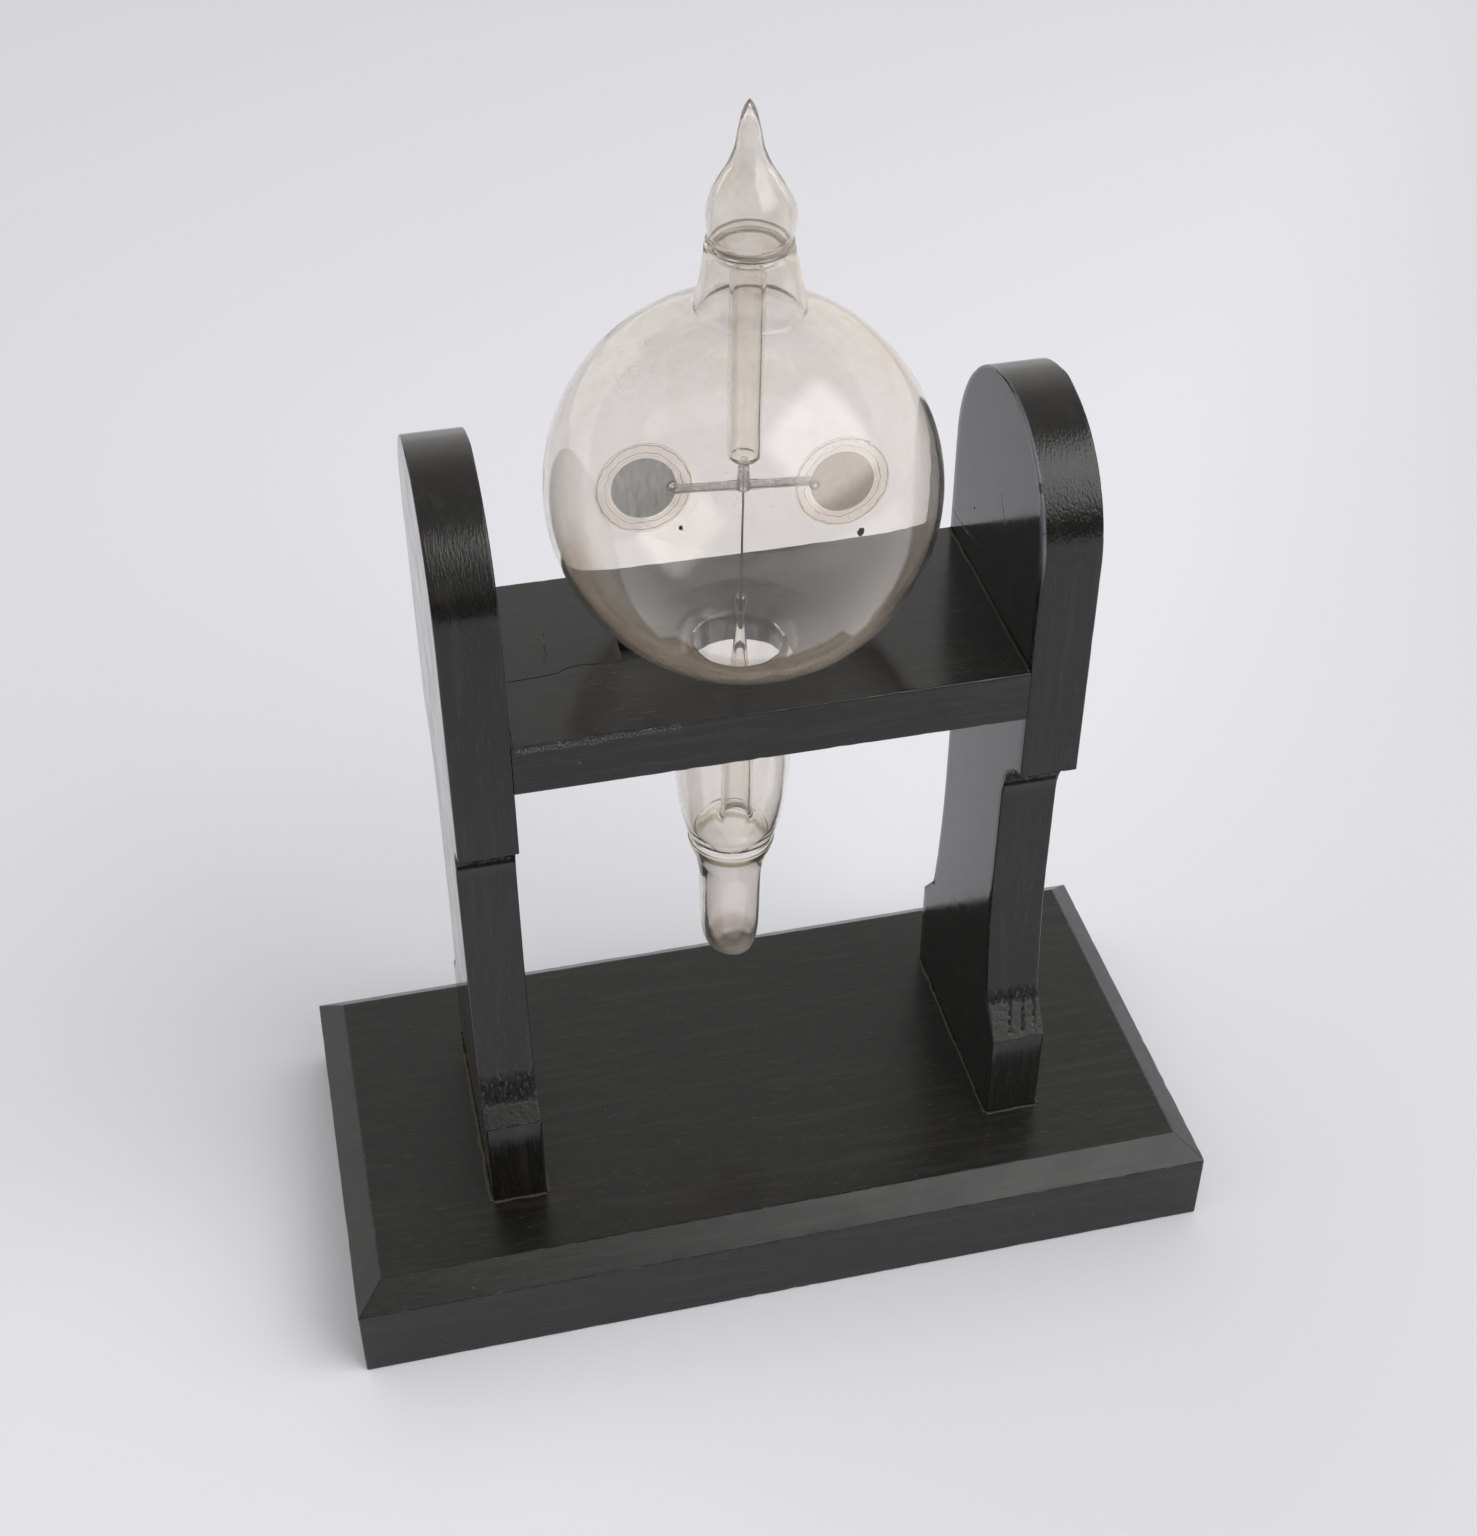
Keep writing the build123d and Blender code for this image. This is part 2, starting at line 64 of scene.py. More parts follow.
class Graph:
    """Short forms for the nodes of one node tree."""

    def __init__(self, tree):
        self.tree = tree

    def put(self, socket, value):
        if isinstance(value, bpy.types.NodeSocket):
            self.tree.links.new(value, socket)
        else:
            socket.default_value = value

    def node(self, kind, inputs, **settings):
        made = self.tree.nodes.new(kind)
        for key, value in settings.items():
            setattr(made, key, value)
        self.feed(made, inputs)
        return made

    def feed(self, node, inputs):
        for key, value in inputs.items():
            self.put(node.inputs[key], value)

    def point(self):
        """The place on the piece, in millimetres."""
        place = self.node("ShaderNodeTexCoord", {}).outputs["Object"]
        return self.vector("SCALE", place, scale=1 / MM)

    def vector(self, operation, a, b=None, scale=None):
        inputs = {0: a}
        if b is not None:
            inputs[1] = b
        if scale is not None:
            inputs["Scale"] = scale
        made = self.node("ShaderNodeVectorMath", inputs, operation=operation)
        return made.outputs["Value" if operation in ("DOT_PRODUCT", "LENGTH") else "Vector"]

    def math(self, operation, a, b=0.0, clamp=False):
        made = self.node("ShaderNodeMath", {0: a, 1: b}, operation=operation, use_clamp=clamp)
        return made.outputs[0]

    def times(self, a, b):
        return self.math("MULTIPLY", a, b)

    def plus(self, a, b, clamp=False):
        return self.math("ADD", a, b, clamp)

    def minus(self, a, b):
        return self.math("SUBTRACT", a, b)

    def most(self, found, *others):
        """The greatest of some values."""
        for other in others:
            found = self.math("MAXIMUM", found, other)
        return found

    def away(self, place, spot):
        return self.vector("LENGTH", self.vector("SUBTRACT", place, tuple(spot)))

    def noise(self, place, size, detail=2.0, roughness=0.5, distortion=0.0):
        """Smooth noise whose lumps are about size millimetres across."""
        inputs = {
            "Vector": place,
            "Scale": 1 / size,
            "Detail": detail,
            "Roughness": roughness,
            "Distortion": distortion,
        }
        return self.node("ShaderNodeTexNoise", inputs).outputs["Fac"]

    def specks(self, place, size, radius):
        """1 in a small round spot in each cell of about size millimetres."""
        cells = self.node("ShaderNodeTexVoronoi", {"Vector": place, "Scale": 1 / size})
        return self.ramp(cells.outputs["Distance"], radius / size, 0.6 * radius / size)

    def ramp(self, value, start, end, low=0.0, high=1.0):
        inputs = {"Value": value, "From Min": start, "From Max": end, "To Min": low, "To Max": high}
        made = self.node("ShaderNodeMapRange", inputs, interpolation_type="SMOOTHSTEP")
        return made.outputs["Result"]

    def blend(self, factor, a, b):
        made = self.node("ShaderNodeMix", {"Factor": factor}, data_type="RGBA")
        self.put(made.inputs[6], a)
        self.put(made.inputs[7], b)
        return made.outputs[2]

    def layers(self, colour, coats):
        """Each coat is its cover from 0 to 1 and its tint, and lies over the ones before."""
        for cover, tint in coats:
            colour = self.blend(cover, colour, tint)
        return colour

    def stretch(self, place, factors):
        return self.vector("MULTIPLY", place, factors)

    def own(self, name):
        """A value that the mesh holds at each of its points."""
        return self.node("ShaderNodeAttribute", {}, attribute_name=name).outputs["Fac"]

    def stroke(self, place, start, end, width):
        """1 on a thin line between two points."""
        start, end = Vector(start), Vector(end)
        along = end - start
        off = self.vector("SUBTRACT", place, tuple(start))
        share = self.vector("DOT_PRODUCT", off, tuple(along / along.length_squared))
        share = self.plus(share, 0.0, clamp=True)
        foot = self.vector("SCALE", tuple(along), scale=share)
        gap = self.vector("LENGTH", self.vector("SUBTRACT", off, foot))
        return self.ramp(gap, width, 0.4 * width)

    def bump(self, height, depth, normal=None):
        """Height 1 stands depth millimetres proud."""
        inputs = {"Height": height, "Distance": depth * MM, "Strength": 1.0}
        if normal is not None:
            inputs["Normal"] = normal
        return self.node("ShaderNodeBump", inputs).outputs["Normal"]

    def bumps(self, heights):
        """One normal for several pairs of height and depth."""
        normal = None
        for height, depth in heights:
            normal = self.bump(height, depth, normal)
        return normal


def grey(value, warmth=0.0):
    return (value * (1 + warmth), value, value * (1 - warmth), 1.0)


def new_material(name):
    material = bpy.data.materials.new(name)
    material.use_nodes = True
    shader = material.node_tree.nodes["Principled BSDF"]
    return material, Graph(material.node_tree), shader


def ebonised_wood(name, grain, dull, pores=(1.0, 1.0, 1.0), cracks=(), scratches=()):
    """Black polished wood, worn, torn and dusty where the mesh's own values say so, with a painted
    highlight along an arris where they say so.

    grain is how much longer the grain is along X, Y and Z, and dull is the least roughness.
    pores squeezes the pattern of the open end grain along each of them.
    """
    material, graph, shader = new_material(name)
    place = graph.point()
    fibres = graph.stretch(place, tuple(1 / length for length in grain))
    fine = graph.noise(fibres, 0.32, detail=3.0, roughness=0.6)
    broad = graph.noise(fibres, 2.4, detail=3.0)
    # The mesh's pale value marks a painted highlight along an arris, not wear.
    rough, torn, wear, arris_painted_highlight = (graph.own(key) for key in ("rough", "torn", "wear", "pale"))

    flecks = graph.noise(graph.stretch(fibres, (2.5, 1.0, 2.5)), 0.5, detail=3.0, roughness=0.7)
    pits = graph.noise(place, 0.45, detail=4.0, roughness=0.7)
    ragged = graph.noise(graph.stretch(place, (1.0, 1.0, 0.3)), 0.8, detail=4.0, roughness=0.7)
    gashes = graph.times(torn, graph.ramp(ragged, 0.42, 0.52))
    splinters = graph.times(torn, graph.ramp(ragged, 0.44, 0.38))
    chipped = graph.times(graph.noise(place, 2.6, detail=5.0, roughness=0.65), 0.7)
    rubbed = graph.ramp(graph.plus(graph.times(wear, 0.6), chipped), 0.9, 1.04)
    rubbed = graph.times(rubbed, graph.minus(1.0, arris_painted_highlight))
    ochre = graph.ramp(graph.noise(place, 6.0), 0.52, 0.62)
    bare = graph.blend(ochre, grey(0.065, 0.08), (0.10, 0.058, 0.026, 1.0))
    coats = [
        (graph.ramp(fine, 0.5, 0.72, 0.0, 0.6), grey(0.026, 0.1)),
        (graph.ramp(broad, 0.5, 0.68, 0.0, 0.5), grey(0.022, 0.1)),
        (graph.ramp(flecks, 0.63, 0.72), grey(0.05, 0.05)),
        (graph.times(rough, graph.ramp(pits, 0.5, 0.64)), grey(0.035, 0.05)),
        (gashes, grey(0.003)),
        (splinters, grey(0.03, 0.05)),
        (graph.times(rubbed, 0.75), bare),
    ]

    sway_noise = {"Vector": place, "Scale": 0.45, "Detail": 4.0}
    sway = graph.node("ShaderNodeTexNoise", sway_noise).outputs["Color"]
    sway = graph.vector("SCALE", graph.vector("SUBTRACT", sway, (0.5, 0.5, 0.5)), scale=1.4)
    swayed = graph.vector("ADD", place, sway)
    open_crack = None
    if cracks:
        open_crack = graph.most(*(graph.stroke(swayed, *crack) for crack in cracks))
        coats.append((open_crack, grey(0.001)))
    broken = graph.ramp(graph.noise(place, 0.35, detail=4.0, roughness=0.75), 0.5, 0.58)
    for start, end, width, tint in scratches:
        coats.append((graph.times(graph.stroke(swayed, start, end, width), broken), tint))
    # Painted highlight: a pale bluish strip along the arris in place of a reflection, broken where
    # the edge is chipped.
    arris_painted_highlight = graph.times(arris_painted_highlight, graph.ramp(chipped, 0.22, 0.3, 0.15, 1.0))
    coats.append((arris_painted_highlight, (0.17, 0.175, 0.2, 1.0)))

    dust = graph.specks(graph.vector("ADD", place, (3.1, 1.7, 0.4)), 6.0, 0.16)
    dust = graph.times(dust, graph.ramp(graph.noise(place, 26.0), 0.47, 0.6))
    coats.append((graph.times(dust, 0.7), (0.35, 0.32, 0.27, 1.0)))
    normal = graph.node("ShaderNodeNewGeometry", {}).outputs["Normal"]
    faces_up = graph.node("ShaderNodeSeparateXYZ", {0: normal}).outputs["Z"]
    cover = graph.ramp(graph.noise(place, 3.0, detail=5.0), 0.3, 0.6, 0.5, 1.0)
    settled = graph.times(graph.ramp(faces_up, 0.55, 0.95), graph.own("dusty"))
    settled = graph.times(settled, cover)
    coats.append((settled, (0.02, 0.018, 0.014, 1.0)))

    gloss = graph.ramp(graph.noise(place, 9.0, detail=4.0), 0.35, 0.7, dull, dull + 0.06)
    gloss = graph.plus(gloss, graph.ramp(fine, 0.5, 0.75, 0.0, 0.08))
    for mark, duller in ((rough, 0.2), (settled, 0.12), (gashes, 0.5), (rubbed, 0.2)):
        gloss = graph.plus(gloss, graph.times(mark, duller))

    streaks = graph.noise(graph.stretch(place, pores), 0.5, detail=3.0)
    heights = [
        (broad, 0.018),
        (fine, 0.007),
        (graph.times(streaks, graph.own("open")), 0.1),
        (graph.times(pits, rough), 0.09),
        (graph.minus(1.0, gashes), 0.25),
    ]
    if cracks:
        heights.append((graph.minus(1.0, open_crack), 0.4))
    black = graph.blend(graph.noise(place, 22.0, detail=2.0), grey(0.005), grey(0.009, 0.1))
    look = {
        "Base Color": graph.layers(black, coats),
        "Roughness": graph.plus(gloss, 0.0, clamp=True),
        "IOR": 1.5,
        "Normal": graph.bumps(heights),
    }
    graph.feed(shader, look)
    return material


def glass_veil(graph, place, level):
    """How much a brown film, settled dust, frost and grains hide of the glass, and the parts
    of it that have a tint of their own.
    """
    patches = graph.ramp(graph.noise(place, 12.0, detail=7.0, roughness=0.7), 0.36, 0.66, 0.35, 1.7)
    facing = graph.node("ShaderNodeLayerWeight", {"Blend": 0.5}).outputs["Facing"]
    on_axis = graph.vector("SCALE", tuple(bulb_axis), scale=level)
    off_axis = graph.vector("SUBTRACT", from_middle(graph, place), on_axis)
    inner_tube = graph.ramp(graph.vector("LENGTH", off_axis), 5.5, 4.5)
    inside = graph.times(inner_tube, graph.ramp(level, 52.0, 50.0))
    smoked = graph.ramp(level, 10.0, 38.0, 0.0, 2.2)
    film = graph.times(graph.plus(smoked, 1.0), patches)
    film = graph.times(film, graph.minus(0.016, graph.times(inside, 0.012)))
    veil = graph.math("DIVIDE", film, graph.minus(1.05, facing))

    rim = graph.times(graph.ramp(facing, 0.35, 0.8), graph.ramp(facing, 1.0, 0.8, 0.6, 1.0))
    low_band = graph.times(graph.ramp(level, -6.0, -28.0), graph.ramp(level, -46.0, -40.0))
    settled = graph.times(graph.times(low_band, rim), graph.ramp(patches, 0.3, 1.4, 0.35, 0.62))
    frost = graph.times(graph.ramp(level, -119.0, -127.0), 0.4)
    gritty = graph.ramp(graph.noise(place, 15.0), 0.46, 0.62)
    grains = graph.times(graph.specks(place, 1.3, 0.1), graph.times(gritty, 0.4))
    veil = graph.plus(graph.most(veil, settled, frost), grains)
    return graph.math("MINIMUM", veil, 0.62), settled, frost


def glass_dirt(graph, place):
    """Pits, pocks and the few dark specks on the glass."""
    pits = graph.specks(graph.vector("ADD", place, (5.0, 3.0, 1.0)), 1.7, 0.13)
    pits = graph.times(pits, graph.ramp(graph.noise(place, 9.0, detail=3.0), 0.56, 0.66))
    near_spot = graph.ramp(graph.away(place, pocked_spot), 15.0, 5.0)
    pock = graph.times(graph.specks(place, 0.9, 0.17), near_spot)
    pock = graph.times(pock, graph.ramp(graph.noise(place, 3.0, detail=3.0), 0.48, 0.6))
    dirt = [graph.times(graph.most(pits, pock), 0.6)]
    for spot, size in glass_specks:
        uneven = graph.plus(graph.away(place, spot), graph.noise(place, 0.7))
        dirt.append(graph.ramp(uneven, size + 0.6, size + 0.35))
    return graph.most(*dirt)


def from_middle(graph, place):
    return graph.vector("SUBTRACT", place, tuple(globe_centre))


def blown_glass(name):
    """Old soda glass under a thin brown film, which hides most where the glass is seen edge on."""
    material, graph, shader = new_material(name)
    place = graph.point()
    level = graph.vector("DOT_PRODUCT", from_middle(graph, place), tuple(bulb_axis))
    veil, settled, frost = glass_veil(graph, place, level)
    dirt = glass_dirt(graph, place)

    from_upper = graph.math("ABSOLUTE", graph.minus(level, upper_weld_level))
    from_lower = graph.math("ABSOLUTE", graph.minus(level, lower_weld_level))
    upper_weld = graph.times(graph.ramp(from_upper, 1.0, 0.4), 0.25)
    welds = graph.most(upper_weld, graph.ramp(from_lower, 1.3, 0.6))
    clear, filmed = (0.99, 0.968, 0.945, 1.0), (0.86, 0.755, 0.64, 1.0)
    tint = graph.blend(graph.ramp(veil, 0.02, 0.25), clear, filmed)
    coats = [
        (settled, (0.52, 0.42, 0.30, 1.0)),
        (frost, (0.9, 0.9, 0.93, 1.0)),
        (welds, (0.55, 0.51, 0.37, 1.0)),
        (dirt, (0.02, 0.015, 0.012, 1.0)),
    ]
    look = {
        "Base Color": graph.layers(tint, coats),
        "Transmission Weight": graph.minus(1.0, graph.most(veil, dirt)),
        "Normal": graph.bump(graph.noise(place, 6.0, detail=1.0), 0.018),
        "IOR": 1.5,
        "Roughness": 0.0,
    }
    graph.feed(shader, look)
    olive = {"Color": (0.42, 0.36, 0.0, 1.0), "Density": 28.0}
    body = graph.node("ShaderNodeVolumeAbsorption", olive)
    graph.feed(graph.tree.nodes["Material Output"], {"Volume": body.outputs["Volume"]})
    return material


def cloudy_glass(name):
    """The mill's small tubes: thin glass, clouded inside."""
    material, graph, shader = new_material(name)
    cloud = graph.noise(graph.point(), 1.2, detail=4.0, roughness=0.6)
    clear, clouded = (0.97, 0.95, 0.96, 1.0), (0.82, 0.80, 0.83, 1.0)
    look = {
        "Transmission Weight": graph.ramp(cloud, 0.35, 0.65, 0.92, 0.66),
        "Base Color": graph.blend(graph.ramp(cloud, 0.3, 0.7), clear, clouded),
        "Normal": graph.bump(cloud, 0.12),
        "IOR": 1.5,
        "Roughness": 0.02,
    }
    graph.feed(shader, look)
    return material


def disc_paint(name, dark, light, streak, roughness):
    material, graph, shader = new_material(name)
    place = graph.stretch(graph.point(), (1.0, 1.0, streak))
    mottle = graph.noise(place, 1.2, detail=5.0, roughness=0.6)
    look = {
        "Base Color": graph.blend(graph.ramp(mottle, 0.3, 0.7), dark, light),
        "Roughness": graph.ramp(mottle, 0.3, 0.7, roughness, roughness + 0.15),
        "Normal": graph.bump(mottle, 0.02),
    }
    graph.feed(shader, look)
    return material


def clear_mica(name, centres):
    """Split mica: its leaves end in thin uneven rings round each disc."""
    material, graph, shader = new_material(name)
    place = graph.point()
    leaves = graph.noise(place, 6.0, detail=2.0, distortion=1.5)
    left, right = (graph.away(place, centre) for centre in centres)
    out = graph.math("MINIMUM", left, right)
    out = graph.plus(out, graph.times(graph.minus(leaves, 0.5), 1.6))
    flakes = graph.ramp(graph.noise(place, 0.9, detail=4.0, roughness=0.7), 0.58, 0.7)
    clouds = graph.times(flakes, 0.3)
    for radius, strength in ((9.5, 0.7), (7.9, 0.55), (7.3, 0.2)):
        gap = graph.math("ABSOLUTE", graph.minus(out, radius))
        clouds = graph.most(clouds, graph.ramp(gap, 0.13, 0.03, 0.0, strength))
    warm, cool = (0.99, 0.94, 0.87, 1.0), (0.98, 0.93, 0.92, 1.0)
    tint = graph.blend(graph.ramp(leaves, 0.35, 0.65), warm, cool)
    look = {
        "Base Color": graph.blend(clouds, tint, (0.42, 0.34, 0.27, 1.0)),
        "Transmission Weight": graph.ramp(clouds, 0.0, 1.0, 0.93, 0.45),
        "Normal": graph.bump(leaves, 0.05),
        "Roughness": 0.05,
        "IOR": 1.58,
    }
    graph.feed(shader, look)
    return material


def steel(name, value, roughness):
    material, graph, shader = new_material(name)
    stain = graph.noise(graph.point(), 0.8, detail=4.0)
    look = {
        "Base Color": graph.blend(stain, grey(value, 0.08), grey(0.6 * value, 0.12)),
        "Roughness": graph.ramp(stain, 0.3, 0.7, roughness, roughness + 0.2),
        "Metallic": 1.0,
    }
    graph.feed(shader, look)
    return material


def glue(name):
    material, graph, shader = new_material(name)
    place = graph.point()
    lumps = graph.noise(place, 1.1, detail=4.0, roughness=0.6)
    thin, thick = (0.022, 0.018, 0.009, 1.0), (0.05, 0.041, 0.019, 1.0)
    colour = graph.blend(graph.ramp(lumps, 0.3, 0.6), thin, thick)
    spots = graph.ramp(graph.noise(place, 2.6, detail=3.0), 0.67, 0.74)
    look = {
        "Base Color": graph.blend(spots, colour, (0.13, 0.06, 0.02, 1.0)),
        "Roughness": graph.ramp(lumps, 0.3, 0.7, 0.5, 0.75),
        "Normal": graph.bump(lumps, 0.05),
    }
    graph.feed(shader, look)
    return material


def make_object(name, vertices, faces, material):
    """vertices are in millimetres."""
    mesh = bpy.data.meshes.new(name)
    mesh.from_pydata([tuple(v * MM for v in vertex) for vertex in vertices], [], faces)
    mesh.validate()
    made = bpy.data.objects.new(name, mesh)
    bpy.context.scene.collection.objects.link(made)
    mesh.materials.append(material)
    return made


def weld(made, gap=1e-3):
    """Joins points that lie together, and turns the faces outward."""
    kit = bmesh.new()
    kit.from_mesh(made.data)
    bmesh.ops.remove_doubles(kit, verts=kit.verts, dist=gap * MM)
    bmesh.ops.dissolve_degenerate(kit, edges=kit.edges, dist=1e-4 * MM)
    bmesh.ops.recalc_face_normals(kit, faces=kit.faces)
    kit.to_mesh(made.data)
    kit.free()


def smooth(made, sharp_angle=180.0):
    made.data.shade_smooth()
    if sharp_angle < 180:
        made.data.set_sharp_from_angle(angle=math.radians(sharp_angle))


def store(made, name, values):
    attribute = made.data.attributes.new(name, "FLOAT", "POINT")
    attribute.data.foreach_set("value", np.asarray(values, np.float32))


def places(made):
    """The mesh's points in millimetres."""
    flat = np.empty(3 * len(made.data.vertices))
    made.data.vertices.foreach_get("co", flat)
    return flat.reshape(-1, 3) / MM


def move_points(made, new_places):
    made.data.vertices.foreach_set("co", (np.asarray(new_places) * MM).ravel())
    made.data.update()


def lumps(points, size, seed=0.0):
    """Smooth noise from -1 to 1 at each point."""
    shift = Vector((seed, 2.3 * seed, -1.7 * seed))
    return np.array([noise.noise(Vector(point) / size + shift) for point in points])


def even_stops(start, end, step):
    count = max(1, round(abs(end - start) / step))
    return list(np.linspace(start, end, count + 1))


def edge_stops(half, step, edge_round):
    """Stops from -half to half, close together by the edges."""
    near = [edge_round * share for share in (0.0, 0.3, 0.65, 1.0, 1.7)]
    inner = even_stops(-half + near[-1], half - near[-1], step)
    return [-half + stop for stop in near[:-1]] + inner + [half - stop for stop in near[-2::-1]]


# The stand's sizes
base_half = (101.6, 50.4)
base_height = 24.1
bevel_inset = 6.2
bevel_drop = 5.1
frame_middle = -0.7
inner_half = 53.85
board = 12.7
upright_half = 27.95
crown_height = 182.65
foot_top = 48.7
ankle_height = 56.5
ankle_half = 21.6
leg_half = 18.3
calf_top = 94.5
cove_start = 116.3
shoulder_height = 130.3
shelf_top = 158.2
shelf_thickness = 12.1
hole_x = -1.8
hole_radius = 13.0
seat_sphere_radius = 40.35
slot_reach = 25.8
slot_width = 9.1
wood_round = 0.4

# A gap longer than any wear reaches
far = 99.0


def box_grid(stops):
    """Points and faces of a box's surface, with a line of points at each stop along X, Y and Z."""
    vertices, faces = [], []
    for across in range(3):
        a, b = (across + 1) % 3, (across + 2) % 3
        for end in (stops[across][0], stops[across][-1]):
            first = len(vertices)
            for u in stops[a]:
                for v in stops[b]:
                    point = [0.0, 0.0, 0.0]
                    point[across], point[a], point[b] = end, u, v
                    vertices.append(point)
            wide = len(stops[b])
            for i in range(len(stops[a]) - 1):
                for j in range(wide - 1):
                    corner = first + i * wide + j
                    faces.append((corner, corner + 1, corner + wide + 1, corner + wide))
    return np.array(vertices), faces


def round_edges(points, low, high, radius):
    """Moves a box's surface points onto the box with rounded edges."""
    low, high = np.array(low), np.array(high)
    core = np.clip(points, low + radius, high - radius)
    away = points - core
    length = np.linalg.norm(away, axis=1, keepdims=True)
    return np.where(length > 1e-9, core + away / np.maximum(length, 1e-9) * radius, points)


def edge_gap(points, low, high):
    """How far each point of a box's surface is from the box's nearest edge."""
    gaps = np.minimum(points - np.array(low), np.array(high) - points)
    return np.sort(gaps, axis=1)[:, 1]


def build_base():
    low = (-base_half[0], -base_half[1], 0.0)
    high = (base_half[0], base_half[1], base_height)
    shoulder = base_height - bevel_drop
    stops = [
        edge_stops(base_half[0], 2.2, wood_round),
        edge_stops(base_half[1], 2.2, wood_round),
        [0.0, 0.14, 0.3, 0.45, 0.8]
        + even_stops(2.5, shoulder - 1.5, 2.2)
        + [shoulder - stop for stop in (0.7, 0.35, 0.15, 0.0)]
        + [shoulder + stop for stop in (0.15, 0.35, 0.7)]
        + even_stops(shoulder + 1.2, base_height - 1.0, 1.0)
        + [base_height - stop for stop in (0.4, 0.2, 0.0)],
    ]
    box, faces = box_grid(stops)
    on_top = box[:, 2] >= base_height - 1e-6
    rounded = round_edges(box, low, (*high[:2], high[2] + 10), wood_round)
    rise = np.clip((box[:, 2] - shoulder) / bevel_drop, 0, 1)
    inset = bevel_inset * rise
    shaped = rounded.copy()
    shaped[:, 2] = np.where(on_top, base_height, rounded[:, 2])
    for axis in (0, 1):
        shaped[:, axis] *= (base_half[axis] - inset) / base_half[axis]
    made = make_object("base_board", shaped, faces, base_wood)
    weld(made)
    points = places(made)
    top_half = [half - bevel_inset for half in base_half]
    outside = np.maximum(np.abs(points[:, 0]) - top_half[0], np.abs(points[:, 1]) - top_half[1])
    to_top_edge = np.where(points[:, 2] > shoulder, np.abs(outside), far)
    to_shoulder = np.where(outside > bevel_inset - 1.5, np.abs(points[:, 2] - shoulder), far)
    corner = np.abs(base_half[0] - np.abs(points[:, 0]) - (base_half[1] - np.abs(points[:, 1])))
    to_mitre = np.where((points[:, 2] > shoulder) & (outside > 0), corner, far)
    to_side_edge = edge_gap(points, low, (*high[:2], far))
    gap = np.minimum.reduce([to_top_edge, to_shoulder, to_mitre, to_side_edge])
    wear = np.clip(1 - gap / 0.9, 0, 1)
    outward = points - np.array([0, 0, base_height / 2])
    dents = np.clip(lumps(points, 3.0, 1.0) - 0.1, 0, 1) * wear * 0.35
    length = np.linalg.norm(outward, axis=1, keepdims=True)
    wave = lumps(points, 24.0, 5.0) * 0.03 * (points[:, 2] > 1.0)
    points -= outward / length * dents[:, None]
    points[:, 2] += wave * on_surface(points[:, 2], base_height, 0.5)
    points[:, 2] = np.maximum(points[:, 2], 0.0)
    points[:, 0] = np.clip(points[:, 0], -base_half[0], base_half[0])
    points[:, 1] = np.clip(points[:, 1], -base_half[1], base_half[1])
    move_points(made, points)
    store(made, "wear", wear)
    smooth(made)
    return made


def on_surface(values, level, reach):
    return (np.abs(values - level) < reach).astype(float)


def hermite(start, end, start_way, end_way, count):
    """Points of a curve with the given ends and directions, without its first point."""
    found = []
    for share in np.linspace(0, 1, count + 1)[1:]:
        s2, s3 = share**2, share**3
        weights = (2 * s3 - 3 * s2 + 1, s3 - 2 * s2 + share, 3 * s2 - 2 * s3, s3 - s2)
        parts = (start, start_way, end, end_way)
        found.append(tuple(sum(w * p[i] for w, p in zip(weights, parts)) for i in (0, 1)))
    return found


def line(start, end, step, soft_start=0.0, soft_end=0.0):
    """Points of a straight run, without its first. A soft end has stops close together."""
    length = math.dist(start, end)
    soft = [0.12, 0.3, 0.6]
    stops = [soft_start * s for s in soft if soft_start] + even_stops(
        0.6 * bool(soft_start), length - 0.6 * bool(soft_end), step
    )[1:]
    stops += [length - s for s in reversed(soft[:-1]) if soft_end] + ([length] if soft_end else [])
    return [
        tuple(a + (b - a) * stop / length for a, b in zip(start, end))
        for stop in sorted(set(stops))
    ]


